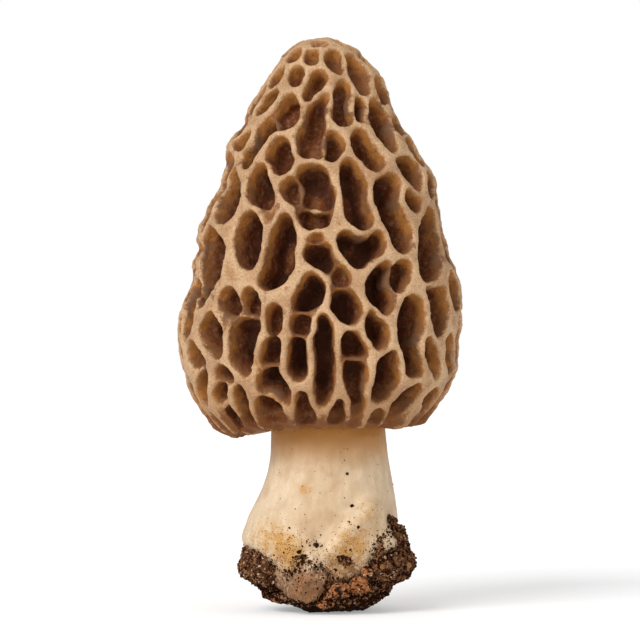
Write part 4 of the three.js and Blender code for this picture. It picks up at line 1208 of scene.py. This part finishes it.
def near_soil(soil, middle, way):
    """Thick at the ragged edge of a clod, thin further up, and a few round the crumbs, stains and bulge."""
    gap = gap_to_soil(soil, middle)
    share = sum(thick * np.exp(-gap / reach) for thick, reach in NEAR_SOIL)
    share += STEM_DUST["share"] * (middle[:, 2] < STEM_DUST["below"])
    for _, across, up in CRUMBS.values():
        share += CRUMB_DUST["share"] * spot(middle, across, up, *CRUMB_DUST["half"])
    away = np.hypot(middle[:, 0] - BULGE.across, middle[:, 2] - BULGE.up)
    ring = front_share(middle) * bell((away - BULGE_DUST["ring"]) / BULGE_DUST["half"])
    share += BULGE_DUST["share"] * spot(middle, *BULGE) + BULGE_DUST["ring share"] * ring
    share += STAIN_DUST * spots_sum(middle, STAINS)
    return np.where(gap == BURIED, 0, share)


class Sprinkler:
    """Scatters soil on finished pieces, always with the same dice and shapes."""

    def __init__(self, material, middling):
        self.material = material
        self.middling = middling
        self.dice = np.random.default_rng(DICE_SEED)
        self.small, self.large = grain_shapes(6, 1), grain_shapes(4, 2)

    def sprinkle(self, piece, name, count, shapes, kind, make_tones, wanted):
        """Kind is a width, against a middling grain, its spread and how deep it sinks; wanted says where."""
        width, spread, sunk = kind
        places, outward = spots_on(piece, count, self.dice, wanted)
        widths = width * self.middling * np.exp(self.dice.normal(0, spread, count))
        tones = make_tones(count, self.dice)
        grains = scatter(name, places, outward, widths, shapes, sunk, tones, self.dice)
        dress(grains, self.material, "soil")


def sprinkle_soil(sprinkler, clods, soil, stem, chips, grains):
    """Covers the clods, dirties the stem and half buries the chips."""
    small, large = sprinkler.small, sprinkler.large
    for clod in clods:
        count = int(grains * (len(clod.data.vertices) / sum(len(c.data.vertices) for c in clods)))
        tones = partial(duller_tones, DARKER.get(clod.name, 0))
        sprinkler.sprinkle(clod, f"{clod.name}_grains", count, small, CLOD_GRAIN, tones, outside_of_clod)
        tones = partial(tones_near, *LUMP_TONE)
        count //= GRAINS_PER_LUMP
        sprinkler.sprinkle(clod, f"{clod.name}_lumps", count, large, CLOD_LUMP, tones, outside_of_clod)
    for name, count, shapes, kind, tone in (
        ("stem_grains", 4600, small, STEM_GRAIN, 0.24), ("stem_lumps", 220, large, STEM_LUMP, 0.12),
    ):
        tones = partial(tones_near, tone, 0.8 * tone)
        sprinkler.sprinkle(stem, name, count, shapes, kind, tones, partial(near_soil, soil))
    for chip in chips:
        name = f"{chip.name}_grains"
        sprinkler.sprinkle(chip, name, CHIP_GRAINS, small, CHIP_GRAIN, soil_tones, underside_of_chip)


def model_soil(settings):
    material = soil_material(settings)
    clods = [model_clod(side, settings, material) for side in CLODS]
    stem = bpy.data.objects["stem_flesh"]
    soil = [skin_tree(clod) for clod in clods]
    ground = [*soil, skin_tree(stem)]
    for node, (proud, *_) in CRUMBS.items():
        model_crumb(node, proud, material, ground)
    bark = chip_material(settings)
    chips = [model_chip(name, node, slot, bark, ground) for name, (node, slot) in CHIPS.items()]
    sprinkle_soil(Sprinkler(material, settings.grain / MM), clods, soil, stem, chips, settings.grains)


class MORELBUILDER_OT_soil(bpy.types.Operator):
    """Models the soil, its grains, the crumbs and the chips on the foot"""

    bl_idname = "morel.soil"
    bl_label = "Soil and chips"
    bl_options = {"REGISTER", "UNDO"}

    def execute(self, context):
        model_soil(context.scene.morel_soil)
        return {"FINISHED"}


# ---------------------------------- The stage ----------------------------------
PAPER_SURFACE = {"Roughness": 0.9, "Emission Color": (1, 1, 1, 1), "Emission Strength": 0.3}
SKY = {"on the morel": 0.55, "behind it": 1.0}  # how bright the plain white surroundings are
SUNS = {  # where the light comes from, its strength, how wide it is in degrees
    "key_light": ((-0.55, -0.75, 0.6), 2.3, 35), "fill_light": ((0.8, -0.9, 0.2), 0.5, 60),
}


def soft_sun(name, place, strength, angle):
    """Light from a wide patch of sky towards the morel."""
    bpy.ops.object.light_add(type="SUN", location=place)
    light = bpy.context.active_object
    light.name = name
    light.data.energy = strength
    light.data.angle = math.radians(angle)
    light.rotation_euler = (-Vector(place)).to_track_quat("-Z", "Y").to_euler()


def lay_floor(settings):
    bpy.ops.mesh.primitive_plane_add(size=5)
    floor = bpy.context.active_object
    floor.name = "stage_floor"
    material = new_material("Paper", {**PAPER_SURFACE, "Base Color": as_colour(settings.paper)})[0]
    floor.data.materials.append(material)


def light_room():
    world = bpy.data.worlds.new("Studio")
    world.use_nodes = True
    tree = Tree(world.node_tree)
    background = world.node_tree.nodes["Background"]
    seen = tree.add("ShaderNodeLightPath").outputs["Is Camera Ray"]
    background.inputs["Color"].default_value = (1, 1, 1, 1)
    tree.feed(background.inputs["Strength"], tree.span(seen, 0.0, 1.0, SKY["on the morel"], SKY["behind it"]))
    bpy.context.scene.world = world
    for name, sun in SUNS.items():
        soft_sun(name, *sun)


def set_camera(settings):
    camera = bpy.data.cameras.new("camera")
    camera.lens = settings.lens
    camera.sensor_width = 36
    eye = bpy.data.objects.new("camera", camera)
    bpy.context.scene.collection.objects.link(eye)
    eye.location = (0, -settings.distance, settings.height)
    eye.rotation_euler = (math.radians(90), 0, 0)
    bpy.context.scene.camera = eye
    bpy.context.scene.view_settings.view_transform = "Standard"


class MORELBUILDER_OT_stage(bpy.types.Operator):
    """Lays the pale floor and sets the lights and the camera"""

    bl_idname = "morel.stage"
    bl_label = "Stage"
    bl_options = {"REGISTER", "UNDO"}

    def execute(self, context):
        settings = context.scene.morel_stage
        lay_floor(settings)
        light_room()
        set_camera(settings)
        return {"FINISHED"}


# --------------------------------- The add-on ---------------------------------


class MORELBUILDER_PT_panel(bpy.types.Panel):
    """Lists the pieces of the morel"""

    bl_idname = "MORELBUILDER_PT_panel"
    bl_label = "Morel"
    bl_space_type = "VIEW_3D"
    bl_region_type = "UI"
    bl_category = "Morel"

    def draw(self, context):
        for operator in OPERATORS:
            self.layout.operator(operator.bl_idname)


SETTINGS = {
    "morel_cap": MorelCapSettings,
    "morel_stem": MorelStemSettings,
    "morel_soil": MorelSoilSettings,
    "morel_stage": MorelStageSettings,
}
OPERATORS = (MORELBUILDER_OT_cap, MORELBUILDER_OT_stem, MORELBUILDER_OT_soil, MORELBUILDER_OT_stage)


def register():
    for group in SETTINGS.values():
        bpy.utils.register_class(group)
    for name, group in SETTINGS.items():
        setattr(bpy.types.Scene, name, bpy.props.PointerProperty(type=group))
    for operator in OPERATORS:
        bpy.utils.register_class(operator)
    bpy.utils.register_class(MORELBUILDER_PT_panel)


def unregister():
    bpy.utils.unregister_class(MORELBUILDER_PT_panel)
    for operator in reversed(OPERATORS):
        bpy.utils.unregister_class(operator)
    for name in SETTINGS:
        delattr(bpy.types.Scene, name)
    for group in reversed(SETTINGS.values()):
        bpy.utils.unregister_class(group)


def main():
    register()
    bpy.ops.morel.cap()
    bpy.ops.morel.stem()
    bpy.ops.morel.soil()
    bpy.ops.morel.stage()


if __name__ == "__main__":
    main()
